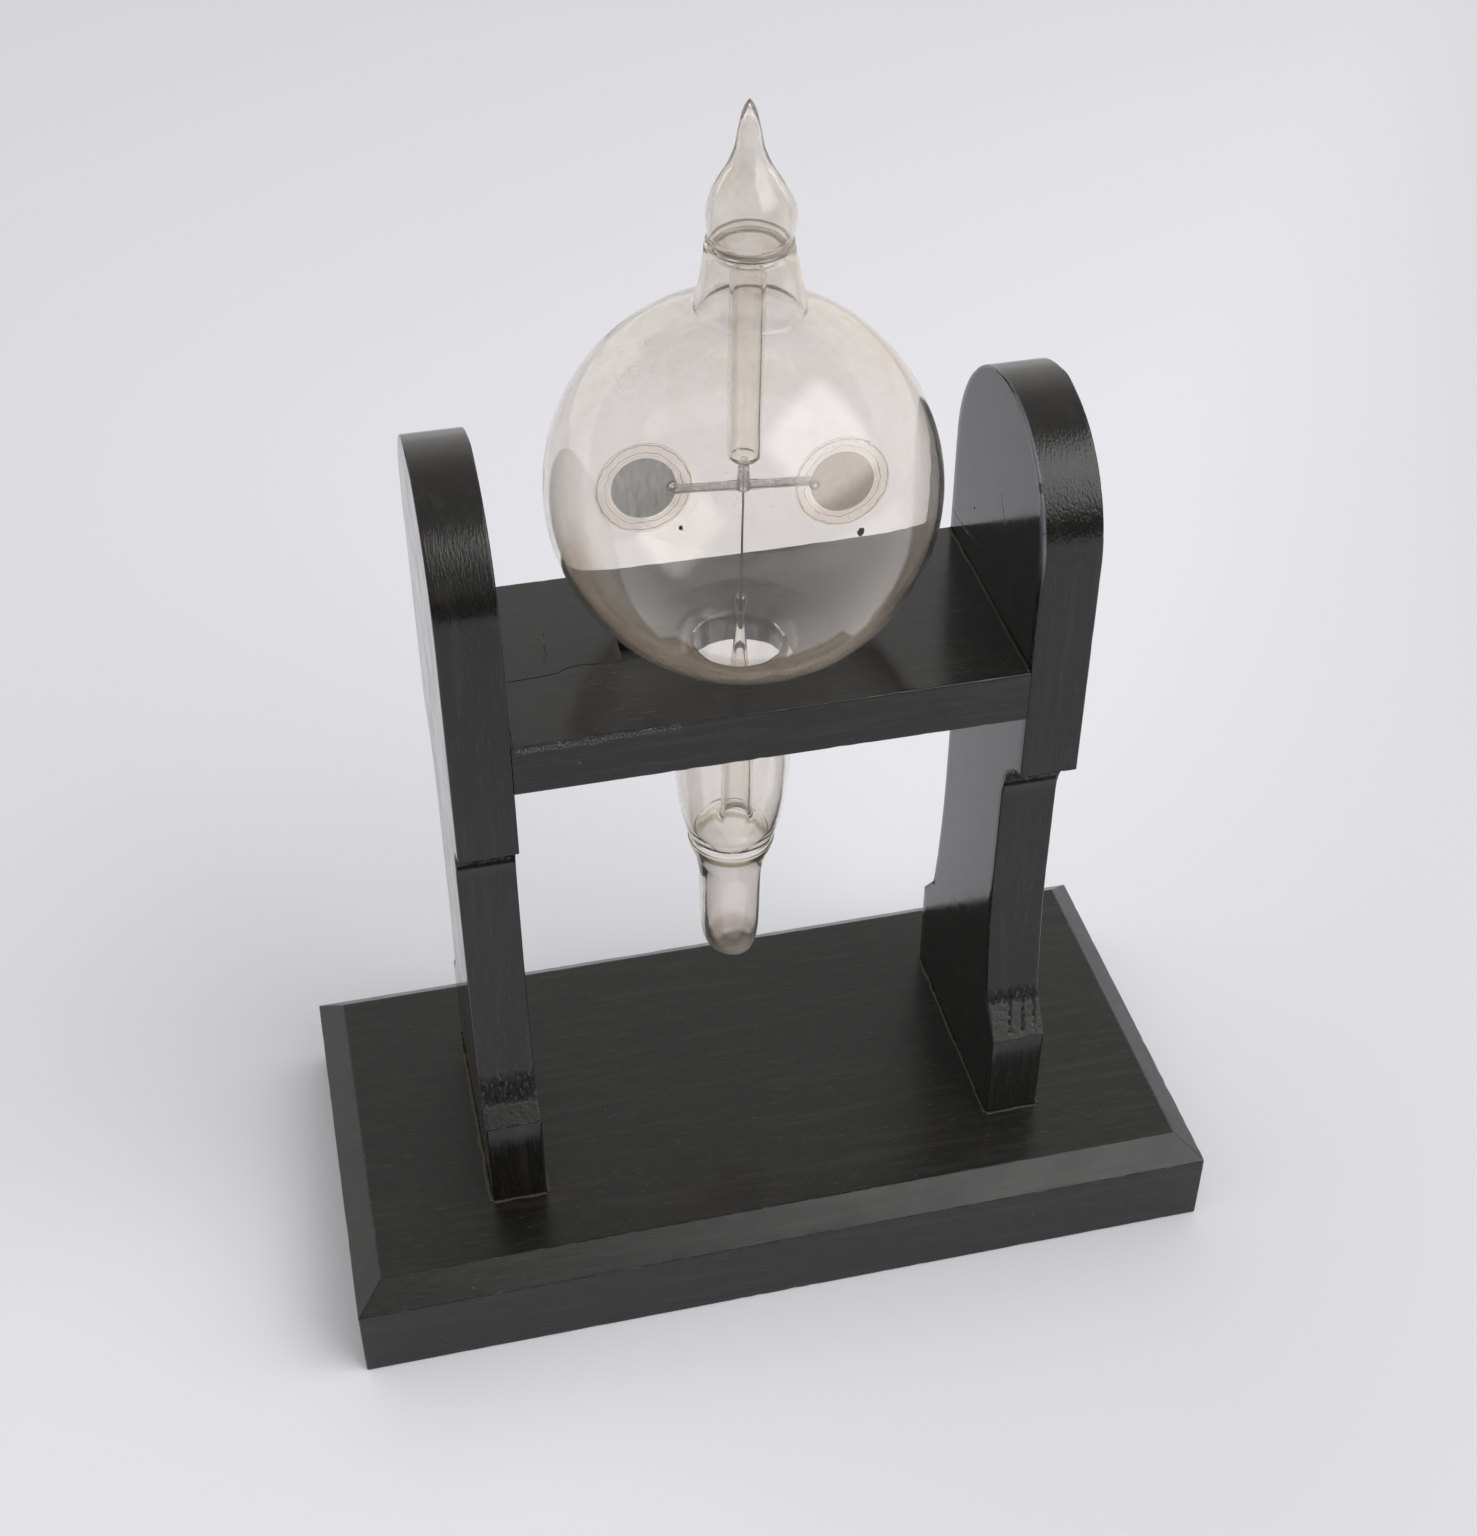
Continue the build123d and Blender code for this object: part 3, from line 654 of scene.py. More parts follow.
def upright_profile(torn_from):
    """Half of the upright's outline, from its foot to its crown, as (half width, height) points.

    With it come how rough, torn, open-grained and dusty the sawn edge is at each point, and the
    numbers of the points that lie on an arris. torn_from is the share of the foot's slope
    where its torn upper part begins.
    """
    cove_rise = shoulder_height - cove_start
    cove_reach = upright_half - leg_half
    cove_radius = (cove_rise**2 + cove_reach**2) / (2 * cove_reach)
    cove_turn = math.asin(cove_rise / cove_radius)
    calf = calf_top - ankle_height
    points = [(upright_half, base_height)]
    points += line(points[-1], (upright_half, foot_top), 2.5, soft_end=1.0)
    flat = len(points)
    points += line(points[-1], (ankle_half, ankle_height), 0.3, soft_start=1.0, soft_end=1.0)
    slope = len(points)
    ankle_way = (2 * (leg_half - ankle_half), calf)
    points += hermite((ankle_half, ankle_height), (leg_half, calf_top), ankle_way, (0, calf), 30)
    points += line(points[-1], (leg_half, cove_start), 2.0)
    leg = len(points)
    for share in np.linspace(0, 1, 49)[1:]:
        turn = cove_turn * share
        reach = cove_radius * (1 - math.cos(turn))
        points.append((leg_half + reach, cove_start + cove_radius * math.sin(turn)))
    cove = len(points)
    points += line(points[-1], (upright_half, crown_height), 2.2, soft_start=1.0)
    side = len(points)
    crown_angles = np.linspace(0, 90, 46)[1:]
    for angle in np.radians(crown_angles):
        rise = upright_half * math.sin(angle)
        points.append((upright_half * math.cos(angle), crown_height + rise))
    count = len(points)
    rough, torn, open_grain, dusty = (np.zeros(count) for _ in range(4))
    rough[flat - 1 : slope] = 1.0
    torn[flat - 1 : slope + 3] = np.interp(
        np.linspace(0, 1, slope - flat + 4), (torn_from, torn_from + 0.12, 0.92, 1), (0, 1, 1, 0)
    )
    torn[leg:cove] = np.interp(np.linspace(0, 1, cove - leg), (0.3, 0.42, 1), (0, 1, 1))
    open_grain[side:] = np.interp(crown_angles, (6, 20, 52, 68), (0.2, 1, 1, 0.2))
    dusty[side:] = np.interp(crown_angles, (60, 85), (0, 0.8))
    shades = {"rough": rough, "torn": torn, "open": open_grain, "dusty": dusty}
    return np.array(points), shades, (flat - 1, slope - 1, cove - 1)


def damage(vertices, wear, sawn, seed, gashes):
    """How deep torn end grain, worn arrises and gashes lie at each of the board's points."""
    stretched = vertices * np.array([1, 1, 0.3])
    pits = np.clip(lumps(vertices, 1.1, seed) - 0.05, 0, 1) * 0.1 * sawn["rough"]
    tears = np.clip(lumps(stretched, 0.9, seed + 3) + 0.05, 0, 1) * 0.8 * sawn["torn"]
    dents = np.clip(lumps(vertices, 2.2, seed + 7) - 0.25, 0, 1) * wear * 0.4
    deep = pits + tears + dents
    front_rough = sawn["rough"] * (vertices[:, 1] < 0)
    for start, end, width, depth in gashes:
        off = vertices[:, [0, 2]] - np.array(start)
        along = np.array(end) - np.array(start)
        share = np.clip(off @ along / (along @ along), 0, 1)
        gap = np.linalg.norm(off - share[:, None] * along, axis=1)
        gap += 0.12 * lumps(vertices, 0.8, seed + 5)
        deep += depth * np.clip(1 - gap / width, 0, 1) * front_rough
    return deep


def build_upright(name, side, material, seed, torn_from, gashes=()):
    """side is -1 for the left board and 1 for the right one. gashes cut into the foot's slope."""
    outline, shades, arrises = upright_profile(torn_from)
    before = np.vstack([outline[:1], outline[:-1]])
    after = np.vstack([outline[1:], outline[-1:]])
    way = after - before
    normal = np.column_stack([way[:, 1], -way[:, 0]])
    normal /= np.linalg.norm(normal, axis=1, keepdims=True)
    normal[-1] = (0, 1)
    r = wood_round
    inner = outline - r * normal
    foot_corner, _, shoulder = arrises
    for corner in (foot_corner, shoulder):
        n1, n2 = normal[corner - 2], normal[corner + 2]
        reach = r * math.sqrt((1 - n1 @ n2) / (1 + n1 @ n2))
        close = np.linalg.norm(outline - outline[corner], axis=1) < reach
        inner[close] = outline[corner] - r * (n1 + n2) / (1 + n1 @ n2)
    quarter = [r * (1 - math.cos(a)) for a in np.linspace(0, math.pi / 2, 5)]
    strip = quarter[:-1] + even_stops(r, board - r, 0.36) + [board - t for t in quarter[-2::-1]]
    columns = 24
    cap_shares = np.linspace(-1, 1, columns + 1)[1:-1]
    vertices, rows, wear, on_edge, painted_highlight_strip = [], [], [], [], []
    for i, (outer_point, inner_point) in enumerate(zip(outline, inner)):
        near_arris = 0.9 if min(abs(i - a) for a in arrises) <= 1 else 0.0
        on_crown = np.interp(outline[i][1], (crown_height - 3, crown_height + 5), (0, 1))
        strip_points, wear_strip, bright = [], [], []
        for t in strip:
            to_side = min(t, board - t)
            sunk = 1 - math.sqrt(max(0.0, 1 - (max(0.0, r - to_side) / r) ** 2))
            strip_points.append((t, *(outer_point + sunk * (inner_point - outer_point))))
            wear_strip.append(max(near_arris, 1 - to_side / 0.7))
            # bright marks a painted highlight: a pale strip along the crown's arris, in place of a
            # reflection.
            bright.append((t < 1.2 * r) * on_crown)
        edge = inner_point[0]
        drop = inner_point[1] - outer_point[1]
        cap = [(share * edge, outer_point[1] + drop * share**8) for share in cap_shares]
        cap_wear = [max(0.0, 1 - (1 - abs(share)) * edge / 0.7) for share in cap_shares]
        vertices += [(t, -y, z) for t, y, z in strip_points]
        vertices += [(board, y, z) for y, z in cap]
        vertices += [(t, y, z) for t, y, z in reversed(strip_points)]
        vertices += [(0.0, -y, z) for y, z in cap]
        ring_wear = wear_strip + cap_wear
        wear += ring_wear + ring_wear[: len(strip)][::-1] + cap_wear
        ring = len(strip) + len(cap_shares)
        painted_highlight_strip += bright + [0.0] * len(cap) + bright[::-1] + [0.0] * len(cap)
        rows += [i] * (2 * ring)
        on_edge += ([True] * len(strip) + [False] * len(cap_shares)) * 2
    size = 2 * ring
    vertices, rows, on_edge = np.array(vertices), np.array(rows), np.array(on_edge)
    wear = np.clip(wear, 0, 1)
    faces = [tuple(range(size))[::-1]]
    for i in range(len(outline) - 1):
        for j in range(size):
            k = (j + 1) % size
            faces.append((i * size + j, i * size + k, (i + 1) * size + k, (i + 1) * size + j))

    sawn = {key: values[rows] * on_edge for key, values in shades.items()}
    wave = lumps(vertices, 17.0, seed + 11) * 0.02
    above = vertices[:, 2] > base_height + 0.5
    out = normal[rows]
    push = (wave - damage(vertices, wear, sawn, seed, gashes)) * above * on_edge
    vertices[:, 1] += np.sign(vertices[:, 1]) * out[:, 0] * push
    vertices[:, 2] += out[:, 1] * push
    vertices[:, 0] = np.clip(vertices[:, 0], 0, board)
    vertices[:, 1] = np.clip(vertices[:, 1], -upright_half, upright_half)
    vertices[:, 2] = np.minimum(vertices[:, 2], crown_height + upright_half)
    vertices[:, 0] = frame_middle + side * (inner_half + vertices[:, 0])
    made = make_object(name, vertices, faces, material)
    store(made, "wear", wear)
    # pale holds the painted highlight, on the right board's inward crown arris only.
    store(made, "pale", np.array(painted_highlight_strip) * (side > 0))
    for key, values in sawn.items():
        store(made, key, values)
    weld(made)
    smooth(made, 50.0)
    return made


def cutter(name, vertices, faces):
    made = make_object(name, vertices, faces, base_wood)
    weld(made)
    return made


def cut(made, tool):
    """Takes tool's shape out of made, and removes the tool."""
    modifier = made.modifiers.new("cut", "BOOLEAN")
    modifier.object = tool
    modifier.operation = "DIFFERENCE"
    modifier.solver = "EXACT"
    bpy.context.view_layer.update()
    evaluated = made.evaluated_get(bpy.context.evaluated_depsgraph_get())
    shaped = bpy.data.meshes.new_from_object(evaluated)
    made.modifiers.clear()
    old = made.data
    made.data = shaped
    bpy.data.meshes.remove(old)
    bpy.data.objects.remove(tool)


def turned(profile, centre, across, behind, up, segments, reverse=False):
    """Points and faces of a profile of (radius, height) that is turned about an axis."""
    vertices, rows, faces = [], [], []
    for radius, height in profile:
        if radius < 1e-6:
            rows.append([len(vertices)])
            vertices.append(centre + up * height)
            continue
        row = []
        for k in range(segments):
            angle = 2 * math.pi * k / segments
            row.append(len(vertices))
            way = across * math.cos(angle) + behind * math.sin(angle)
            vertices.append(centre + up * height + way * radius)
        rows.append(row)
    for low, high in zip(rows, rows[1:]):
        for k in range(segments):
            n = (k + 1) % segments
            corners = [low[k % len(low)], low[n % len(low)]]
            corners += [high[n % len(high)], high[k % len(high)]]
            face = [c for i, c in enumerate(corners) if c not in corners[:i]]
            faces.append(tuple(reversed(face)) if reverse else tuple(face))
    return vertices, faces


def crack_cutter():
    """A thin wandering blade along the shelf's crack."""
    stops = catmull([(*spot, 0.0) for spot in slot_crack], 7)
    way = Vector(stops[-1]) - Vector(stops[0])
    aside = Vector((-way.y, way.x, 0)).normalized()
    vertices, faces = [], []
    for number, stop in enumerate(stops):
        spot = Vector(stop) + Vector((0, 0, shelf_top))
        drift = aside * 0.25 * noise.noise(spot / 0.9)
        half = 0.16 + 0.07 * noise.noise(spot / 1.7)
        for side, level in ((-1, 0.6), (1, 0.6), (0.3, -0.9), (-0.3, -0.9)):
            vertices.append(spot + drift + aside * side * half + Vector((0, 0, level)))
        if number:
            first = 4 * number - 4
            for j in range(4):
                k = (j + 1) % 4
                faces.append((first + j, first + 4 + j, first + 4 + k, first + k))
    last = 4 * len(stops) - 4
    faces += [(0, 1, 2, 3), (last + 3, last + 2, last + 1, last)]
    return cutter("crack_cutter", vertices, faces)


def build_shelf():
    half = (inner_half, upright_half, shelf_thickness / 2)
    middle = np.array([frame_middle, 0, shelf_top - shelf_thickness / 2])
    stops = [
        even_stops(-half[0], half[0], 1.3),
        edge_stops(half[1], 1.3, wood_round),
        edge_stops(half[2], 1.5, wood_round),
    ]
    box, faces = box_grid(stops)
    rounded = round_edges(box, (-99, -half[1], -half[2]), (99, half[1], half[2]), wood_round)
    made = make_object("shelf_board", rounded + middle, faces, shelf_wood)
    weld(made)
    x, y, z = Vector((1, 0, 0)), Vector((0, 1, 0)), Vector((0, 0, 1))
    hole = Vector((hole_x, 0, shelf_top - shelf_thickness))
    above = shelf_thickness + 2
    pipe = [(0, -2), (hole_radius, -2), (hole_radius, above), (0, above)]
    cut(made, cutter("hole_cutter", *turned(pipe, hole, x, y, z, 96)))
    ball = [
        (seat_sphere_radius * math.sin(a), -seat_sphere_radius * math.cos(a))
        for a in np.linspace(0, math.pi, 97)
    ]
    cut(made, cutter("seat_cutter", *turned(ball, globe_centre, x, y, z, 128)))
    slot_stops = [[-slot_reach, 0.0], [-slot_width / 2, slot_width / 2], [-2.0, 16.0]]
    slot, slot_faces = box_grid(slot_stops)
    cut(made, cutter("slot_cutter", slot + np.array(hole), slot_faces))
    cut(made, crack_cutter())
    points = places(made)
    low = (-1e3, -upright_half, shelf_top - shelf_thickness)
    high = (1e3, upright_half, shelf_top)
    wear = np.clip(1 - edge_gap(points, low, high) / 0.8, 0, 1)
    top = on_surface(points[:, 2], shelf_top, 0.01)
    points[:, 2] += (lumps(points, 20.0, 9.0) * 0.02 - 0.02) * top
    chips = np.clip(lumps(points, 2.2, 4.0) - 0.2, 0, 1) * wear * 0.4
    points[:, 1] -= np.sign(points[:, 1]) * chips
    points[:, 2] -= np.sign(points[:, 2] - middle[2]) * chips * 0.6
    move_points(made, points)
    store(made, "wear", wear)
    smooth(made, 35.0)
    return made


def build_glue(name, corners, first_way, second_way, size, seed):
    """A thin uneven line of glue along a joint. The ways lie in the two faces that meet there."""
    corners = [Vector(corner) for corner in corners]
    first_way, second_way = Vector(first_way), Vector(second_way)
    stops = []
    for start, end in zip(corners, corners[1:]):
        for share in even_stops(0.0, 1.0, 0.35 / (end - start).length):
            stops.append(start.lerp(end, share))
    vertices, faces = [], []
    for spot in stops:
        amount = noise.noise(spot / 5 + Vector((seed, 0, 0))) + 0.5 * noise.noise(spot / 1.2)
        thick = size * max(0.08, 0.35 + 0.35 * amount)
        wide = size * max(0.2, 0.85 + 0.5 * noise.noise(spot / 4 - Vector((seed, 5, 0))))
        vertices += [
            spot - (first_way + second_way) * 0.05,
            spot + first_way * wide - second_way * 0.05,
            spot + first_way * wide * 0.45 + second_way * thick * 0.45,
            spot + second_way * thick - first_way * 0.05,
        ]
    for i in range(len(stops) - 1):
        for j in range(4):
            k = (j + 1) % 4
            faces.append((4 * i + j, 4 * i + k, 4 * i + 4 + k, 4 * i + 4 + j))
    last = 4 * len(stops) - 4
    faces += [(3, 2, 1, 0), (last, last + 1, last + 2, last + 3)]
    made = make_object(name, vertices, faces, old_glue)
    weld(made, 1e-4)
    smooth(made)
    return made


def build_glues():
    """Glue squeezed out round both feet, and along the shelf's ends."""
    made = []
    for label, side in (("left", -1), ("right", 1)):
        inner, outer = (frame_middle + side * stop for stop in (inner_half, inner_half + board))
        y = upright_half
        z = base_height
        up, out = (0, 0, 1), (side, 0, 0)
        back_in, back_out = (inner, y, z), (outer, y, z)
        front_in, front_out = (inner, -y, z), (outer, -y, z)
        shelf_back, shelf_front = (inner, y - 0.5, shelf_top), (inner, 0.5 - y, shelf_top)
        runs = [
            ("foot_inside", back_in, front_in, (-side, 0, 0), 1.0),
            ("foot_front", front_in, front_out, (0, -1, 0), 0.9),
            ("foot_outside", front_out, back_out, out, 1.4),
            ("foot_back", back_out, back_in, (0, 1, 0), 1.0),
            ("shelf_end", shelf_back, shelf_front, (-side, 0, 0), 0.8),
        ]
        for number, (run, start, end, away, size) in enumerate(runs):
            seed = 7.0 * side + number
            made.append(build_glue(f"glue_{label}_{run}", (start, end), away, up, size, seed))
    return made


def smooth_max(a, b, width):
    share = max(width - abs(a - b), 0.0) / width
    return max(a, b) + share * share * width / 4


def catmull(points, steps):
    """A smooth run of points through the given ones."""
    points = [Vector(point) for point in points]
    ends = [2 * points[0] - points[1], *points, 2 * points[-1] - points[-2]]
    found = []
    for a, b, c, d in zip(ends, ends[1:], ends[2:], ends[3:]):
        for step in range(steps):
            t = step / steps
            slope, bend, twist = c - a, 2 * a - 5 * b + 4 * c - d, 3 * b - a - 3 * c + d
            found.append(0.5 * (2 * b + slope * t + bend * t * t + twist * t**3))
    return [tuple(point) for point in [*found, points[-1]]]


# The bulb's sizes. Heights are from the globe's middle, along the bulb's axis.
globe_radius = 40.1
globe_wall = 1.0
neck_wall = 1.15
stub_wall = 1.1
outer_blend = 6.0
inner_blend = 6.6
upper_neck = (8.3, 0.185, 53.4)
lower_neck = [
    (10.7, -44.0), (10.9, -52.0), (11.75, -60.0), (12.6, -69.5),
    (12.2, -78.5), (10.9, -86.0), (9.55, -91.5),
]
# How far the bulb stands to the right of its axis, as (height, shift)
blown_askew = [
    (-100.0, -1.1), (-66.0, -1.1), (-52.0, -0.9), (-40.0, -0.4), (-30.0, 0.0),
    (28.0, 0.0), (42.0, 0.7), (48.0, 0.45), (53.0, 0.1), (66.0, -0.1), (81.0, -0.4),
]


def neck_radius(height, wall):
    radius, taper, weld_height = upper_neck
    return radius + taper * (weld_height - height) - wall


def globe_profile(wall, tube_wall, blend_width):
    """From the upper weld down to the straight lower neck: (radius, height)."""
    ball = globe_radius - wall
    found = []
    for height in even_stops(upper_neck[2] - 1.2, 42.0, 1.4):
        found.append((neck_radius(height, tube_wall), height))
    angles = np.linspace(0.999 * math.pi / 2, -0.999 * math.pi / 2, 150)
    bend = 0.9
    for angle in angles:
        swung = math.copysign(abs(angle / (math.pi / 2)) ** bend * math.pi / 2, angle)
        height = ball * math.sin(swung)
        side = ball * math.cos(swung)
        tube = neck_radius(height, tube_wall) if height > 0 else lower_neck[0][0] - tube_wall
        if (abs(height) > 30) and side < tube - blend_width:
            continue
        found.append((smooth_max(side, tube, blend_width) if abs(height) > 25 else side, height))
    return found


def lower_profile(tube_wall, end_drop):
    shrunk = [(radius - tube_wall, height) for radius, height in lower_neck]
    shrunk[-1] = (shrunk[-1][0], shrunk[-1][1] + end_drop)
    return catmull(shrunk, 7)


def seal_profile():
    """The outside of the drawn-off seal, from its tip down to the weld."""
    return catmull(
        [
            (0.0, 80.6), (0.75, 79.6), (1.45, 77.9), (2.2, 74.6), (2.85, 71.4),
            (4.3, 67.9), (6.1, 64.9), (7.55, 61.6), (8.15, 58.4), (8.0, 55.6), (7.75, 54.4),
        ],
        5,
    )


def upper_weld_ring():
    """The groove and bead at the upper weld."""
    ring = [(7.75, 54.4), (7.9, 53.9), (8.25, 53.5), (8.4, 52.9), (8.32, 52.5), (8.5, 52.2)]
    return catmull(ring, 3)[1:]


def stub_profile(wall):
    top = lower_neck[-1][1]
    return catmull(
        [
            (9.6 - wall, top - 0.8), (9.35 - wall, top - 2.4), (8.1 - wall, top - 6.0),
            (7.3 - wall, top - 10.5), (7.05 - wall, top - 17.0), (6.8 - wall, top - 26.4),
            (6.3 - wall, top - 30.6), (5.2 - wall, top - 33.9),
            (3.05 - 0.6 * wall, top - 36.0 + 0.9 * wall), (0.0, top - 36.9 + wall),
        ],
        5,
    )


def askew(point):
    """The point, moved as the necks stand a little aside and the seal is fuller on its right."""
    off = Vector(point) - globe_centre
    level = off.dot(bulb_axis)
    aside = off.dot(bulb_across)
    out = (off - bulb_axis * level).length
    share = 1.0 if level > 52 else min(max((out - 3.8) / 3.0, 0.0), 1.0)
    shift = share * float(np.interp(level, *zip(*blown_askew)))
    shift += 0.9 * math.exp(-(((level - 58.5) / 4.5) ** 2)) * min(max(aside / 8, 0.0), 1.0)
    return point + bulb_across * shift


def build_bulb():
    """The fused glass: one outer skin and the three hollows inside it."""
    outer = seal_profile() + upper_weld_ring() + globe_profile(0, 0, outer_blend)
    outer += lower_profile(0, 0.0) + catmull([(9.55, -91.5), (9.8, -91.9), (9.65, -92.3)], 2)[1:-1]
    outer += stub_profile(0)

    guard = [(0.0, 6.0), (0.45, 5.95), (0.75, 6.3), (2.6, 6.35), (3.3, 6.75), (3.5, 7.6)]
    flare = [(3.5, 47.5), (3.55, 49.0), (4.1, 50.3), (5.6, 51.2), (6.8, 51.7), (7.15, 51.6)]
    neck_in = globe_profile(globe_wall, neck_wall, inner_blend)
    main = catmull(guard, 4) + catmull([(3.5, 7.6), (3.5, 27.0), (3.5, 47.5)], 3)[1:-1]
    main += catmull([*flare, (7.35, 51.0)], 4)
    main += [point for point in neck_in if point[1] < 50.6]
    main += lower_profile(neck_wall, 1.3)
    bell = [
        (8.35, -90.2), (8.2, -89.9), (8.0, -88.6), (7.0, -87.2),
        (5.2, -86.7), (4.0, -86.2), (3.55, -84.6), (3.5, -82.5),
    ]
    main += catmull(bell, 4)[1:]
    stem = [
        (3.5, -82.5), (3.5, -77.0), (3.5, -72.0), (3.1, -62.0),
        (2.2, -50.0), (1.45, -39.5), (0.8, -32.8),
    ]
    main += catmull(stem, 6)[1:]
    bead = [(0.8, -32.8), (0.95, -31.4), (1.3, -29.4), (1.15, -27.6), (0.5, -26.75), (0.0, -26.7)]
    main += catmull(bead, 5)[1:]

    upper = catmull(
        [
            (0.0, 7.0), (1.9, 7.05), (2.6, 7.4), (2.8, 8.4), (2.8, 28.0), (2.8, 47.5), (2.95, 49.5),
            (3.6, 50.9), (5.2, 51.75), (6.6, 52.2), (7.15, 53.0), (7.1, 54.2), (7.1, 56.0),
            (7.0, 58.4), (6.3, 61.4), (4.85, 64.7), (3.1, 67.7), (1.95, 71.0), (1.35, 74.4),
            (0.7, 77.2), (0.0, 78.2),
        ],
        5,
    )
    lower = stub_profile(stub_wall)[::-1]
    lower = [(0.0, lower[0][1])] + lower[1:-1]
    lower += catmull(
        [
            (8.3, -92.4), (7.9, -91.0), (7.3, -89.2), (6.2, -88.1), (4.4, -87.5), (3.2, -86.9),
            (2.8, -85.4), (2.75, -82.0), (2.75, -72.0), (2.35, -62.0), (1.5, -50.0), (0.8, -41.0),
            (0.0, -38.5),
        ],
        6,
    )
    vertices, faces = [], []
    for number, profile in enumerate((outer, main, upper[::-1], lower[::-1])):
        points, patch = turned(
            profile, globe_centre, bulb_across, bulb_behind, bulb_axis, 128, reverse=number == 0
        )
        first = len(vertices)
        vertices += [askew(point) for point in points]
        faces += [tuple(first + corner for corner in face) for face in patch]
    made = make_object("glass_bulb", vertices, faces, bulb_glass)
    smooth(made)
    return made


# Marks on the boards and the glass, as the photo shows them, in the frame's millimetres
front = -upright_half
inner_right = frame_middle + inner_half
slot_crack = [
    (-28.0, -4.6), (-32.4, -4.4), (-38.1, -4.1), (-42.1, -5.8), (-49.4, -6.3), (-54.4, -6.5),
]
shelf_cracks = [((-42.4, 8.0, shelf_top), (-43.5, -1.5, shelf_top), 0.3)]
pale = (0.14, 0.13, 0.12, 1.0)
raw_brown = (0.11, 0.045, 0.02, 1.0)
shelf_scratches = [
    ((-42.3, 12.6, shelf_top), (-42.5, 7.0, shelf_top), 0.45, raw_brown),
    ((-45.6, 21.6, shelf_top), (-44.7, 21.2, shelf_top), 0.3, pale),
    ((-43.3, 18.8, shelf_top), (-42.8, 18.8, shelf_top), 0.25, pale),
    ((-53.0, front, 157.2), (-35.8, front, 157.2), 1.1, grey(0.13)),
    ((-38.0, front, 157.3), (-20.6, front, 157.6), 0.9, grey(0.12)),
    ((-41.4, front, 151.9), (-40.8, front, 151.9), 0.3, grey(0.12)),
    ((-34.3, front, 149.5), (-33.9, front, 149.5), 0.3, grey(0.12)),
]
base_scratches = [
    ((-75.4, -48.2, 20.8), (-72.3, -50.4, 19.0), 0.16, pale),
    ((-71.4, -50.4, 19.0), (-68.2, -50.2, 19.1), 0.25, (0.16, 0.12, 0.08, 1.0)),
    ((-52.2, -11.6, base_height), (-45.3, -13.8, base_height), 0.6, (0.014, 0.011, 0.009, 1.0)),
]
right_scratches = [
    ((inner_right, 22.0, 163.9), (inner_right, 14.0, 164.6), 0.55, (0.30, 0.13, 0.055, 1.0)),
    ((inner_right, 16.1, 164.1), (inner_right, 6.1, 166.5), 0.4, (0.16, 0.09, 0.05, 1.0)),
]
left_creases = [((-67.2, -28.0, foot_top), (-54.6, -28.0, foot_top), 0.3)]
base_wood = ebonised_wood("ebonised_base", (16.0, 1.0, 1.0), 0.26, scratches=base_scratches)
shelf_wood = ebonised_wood(
    "ebonised_shelf", (16.0, 1.0, 1.0), 0.16, cracks=shelf_cracks, scratches=shelf_scratches
)
left_wood = ebonised_wood("ebonised_left", (1.0, 1.0, 16.0), 0.09, (1.3, 0.3, 0.15), left_creases)
right_cracks = [
    ((inner_right, 27.7, 163.7), (inner_right, 16.1, 164.1), 0.4),
    ((inner_right, -2.4, 185.5), (inner_right, -6.4, 179.4), 0.3),
    ((inner_right, 12.8, 172.9), (inner_right, 13.2, 172.1), 0.45),
    ((inner_right, -23.6, 201.9), (inner_right, -24.2, 200.4), 0.6),
]
right_wood = ebonised_wood(
    "ebonised_right", (1.0, 1.0, 16.0), 0.09, (1.0, 0.6, 0.6), right_cracks, right_scratches
)
glass_specks = [((12.9, -36.2, 204.4), 0.85), ((-20.5, -32.4, 207.8), 0.45)]
pocked_spot = (-22.0, -2.0, 228.2)
upper_weld_level = 52.8
lower_weld_level = -93.7
bulb_glass = blown_glass("bulb_glass")
small_glass = cloudy_glass("mill_glass")
disc_centres = []
for node in ("left_mica_disc", "right_mica_disc"):
    low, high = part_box(node)
    disc_centres.append((Vector(low) + Vector(high)) / (2 * MM))
mica = clear_mica("clear_mica", disc_centres)
# The lampblacked faces are painted mid-grey: a painted sheen in place of the black face's
# reflection.
black_face_painted_sheen = disc_paint("lampblack", (0.45, 0.455, 0.465, 1.0), (0.64, 0.645, 0.655, 1.0), 0.3, 0.5)
pale_foil = disc_paint("pale_foil", (0.68, 0.59, 0.55, 1.0), (0.76, 0.67, 0.63, 1.0), 1.0, 0.5)
needle_steel = steel("needle_steel", 0.35, 0.3)
screw_steel = steel("screw_steel", 0.3, 0.4)
old_glue = glue("old_glue")

foot_gashes = [
    ((4.4, 50.0), (5.6, 56.2), 0.34, 0.4),
    ((7.6, 50.0), (8.8, 56.2), 0.34, 0.4),
    ((10.6, 51.0), (11.4, 56.4), 0.34, 0.35),
]

wooden = [
    (build_base(), "base"),
    (build_upright("left_board", -1, left_wood, 1.0, 0.45), "left_upright"),
    (build_upright("right_board", 1, right_wood, 31.0, 0.75, foot_gashes), "right_upright"),
    (build_shelf(), "shelf"),
]
for piece, node in wooden:
    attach(piece, "stand")
    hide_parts(node)

for piece in build_glues():
    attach(piece, "stand")

bulb = build_bulb()
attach(bulb, "bulb")
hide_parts("globe", "top_seal", "bottom_stub", "guard_tube", "stem", "needle_bead")

finishes = {"upright_screws": screw_steel, "needle": needle_steel, "pivot_cap": small_glass}
mill_finishes = {
    "socket": small_glass,
    "arm": small_glass,
    "mica_disc": mica,
    "black_disc": black_face_painted_sheen,
    "bright_disc": pale_foil,
    "cement": small_glass,
}
for ending, material in mill_finishes.items():
    finishes |= {f"left_{ending}": material, f"right_{ending}": material}
for node, material in finishes.items():
    mesh = frame["nodes"][node].data
    mesh.materials.clear()
    mesh.materials.append(material)


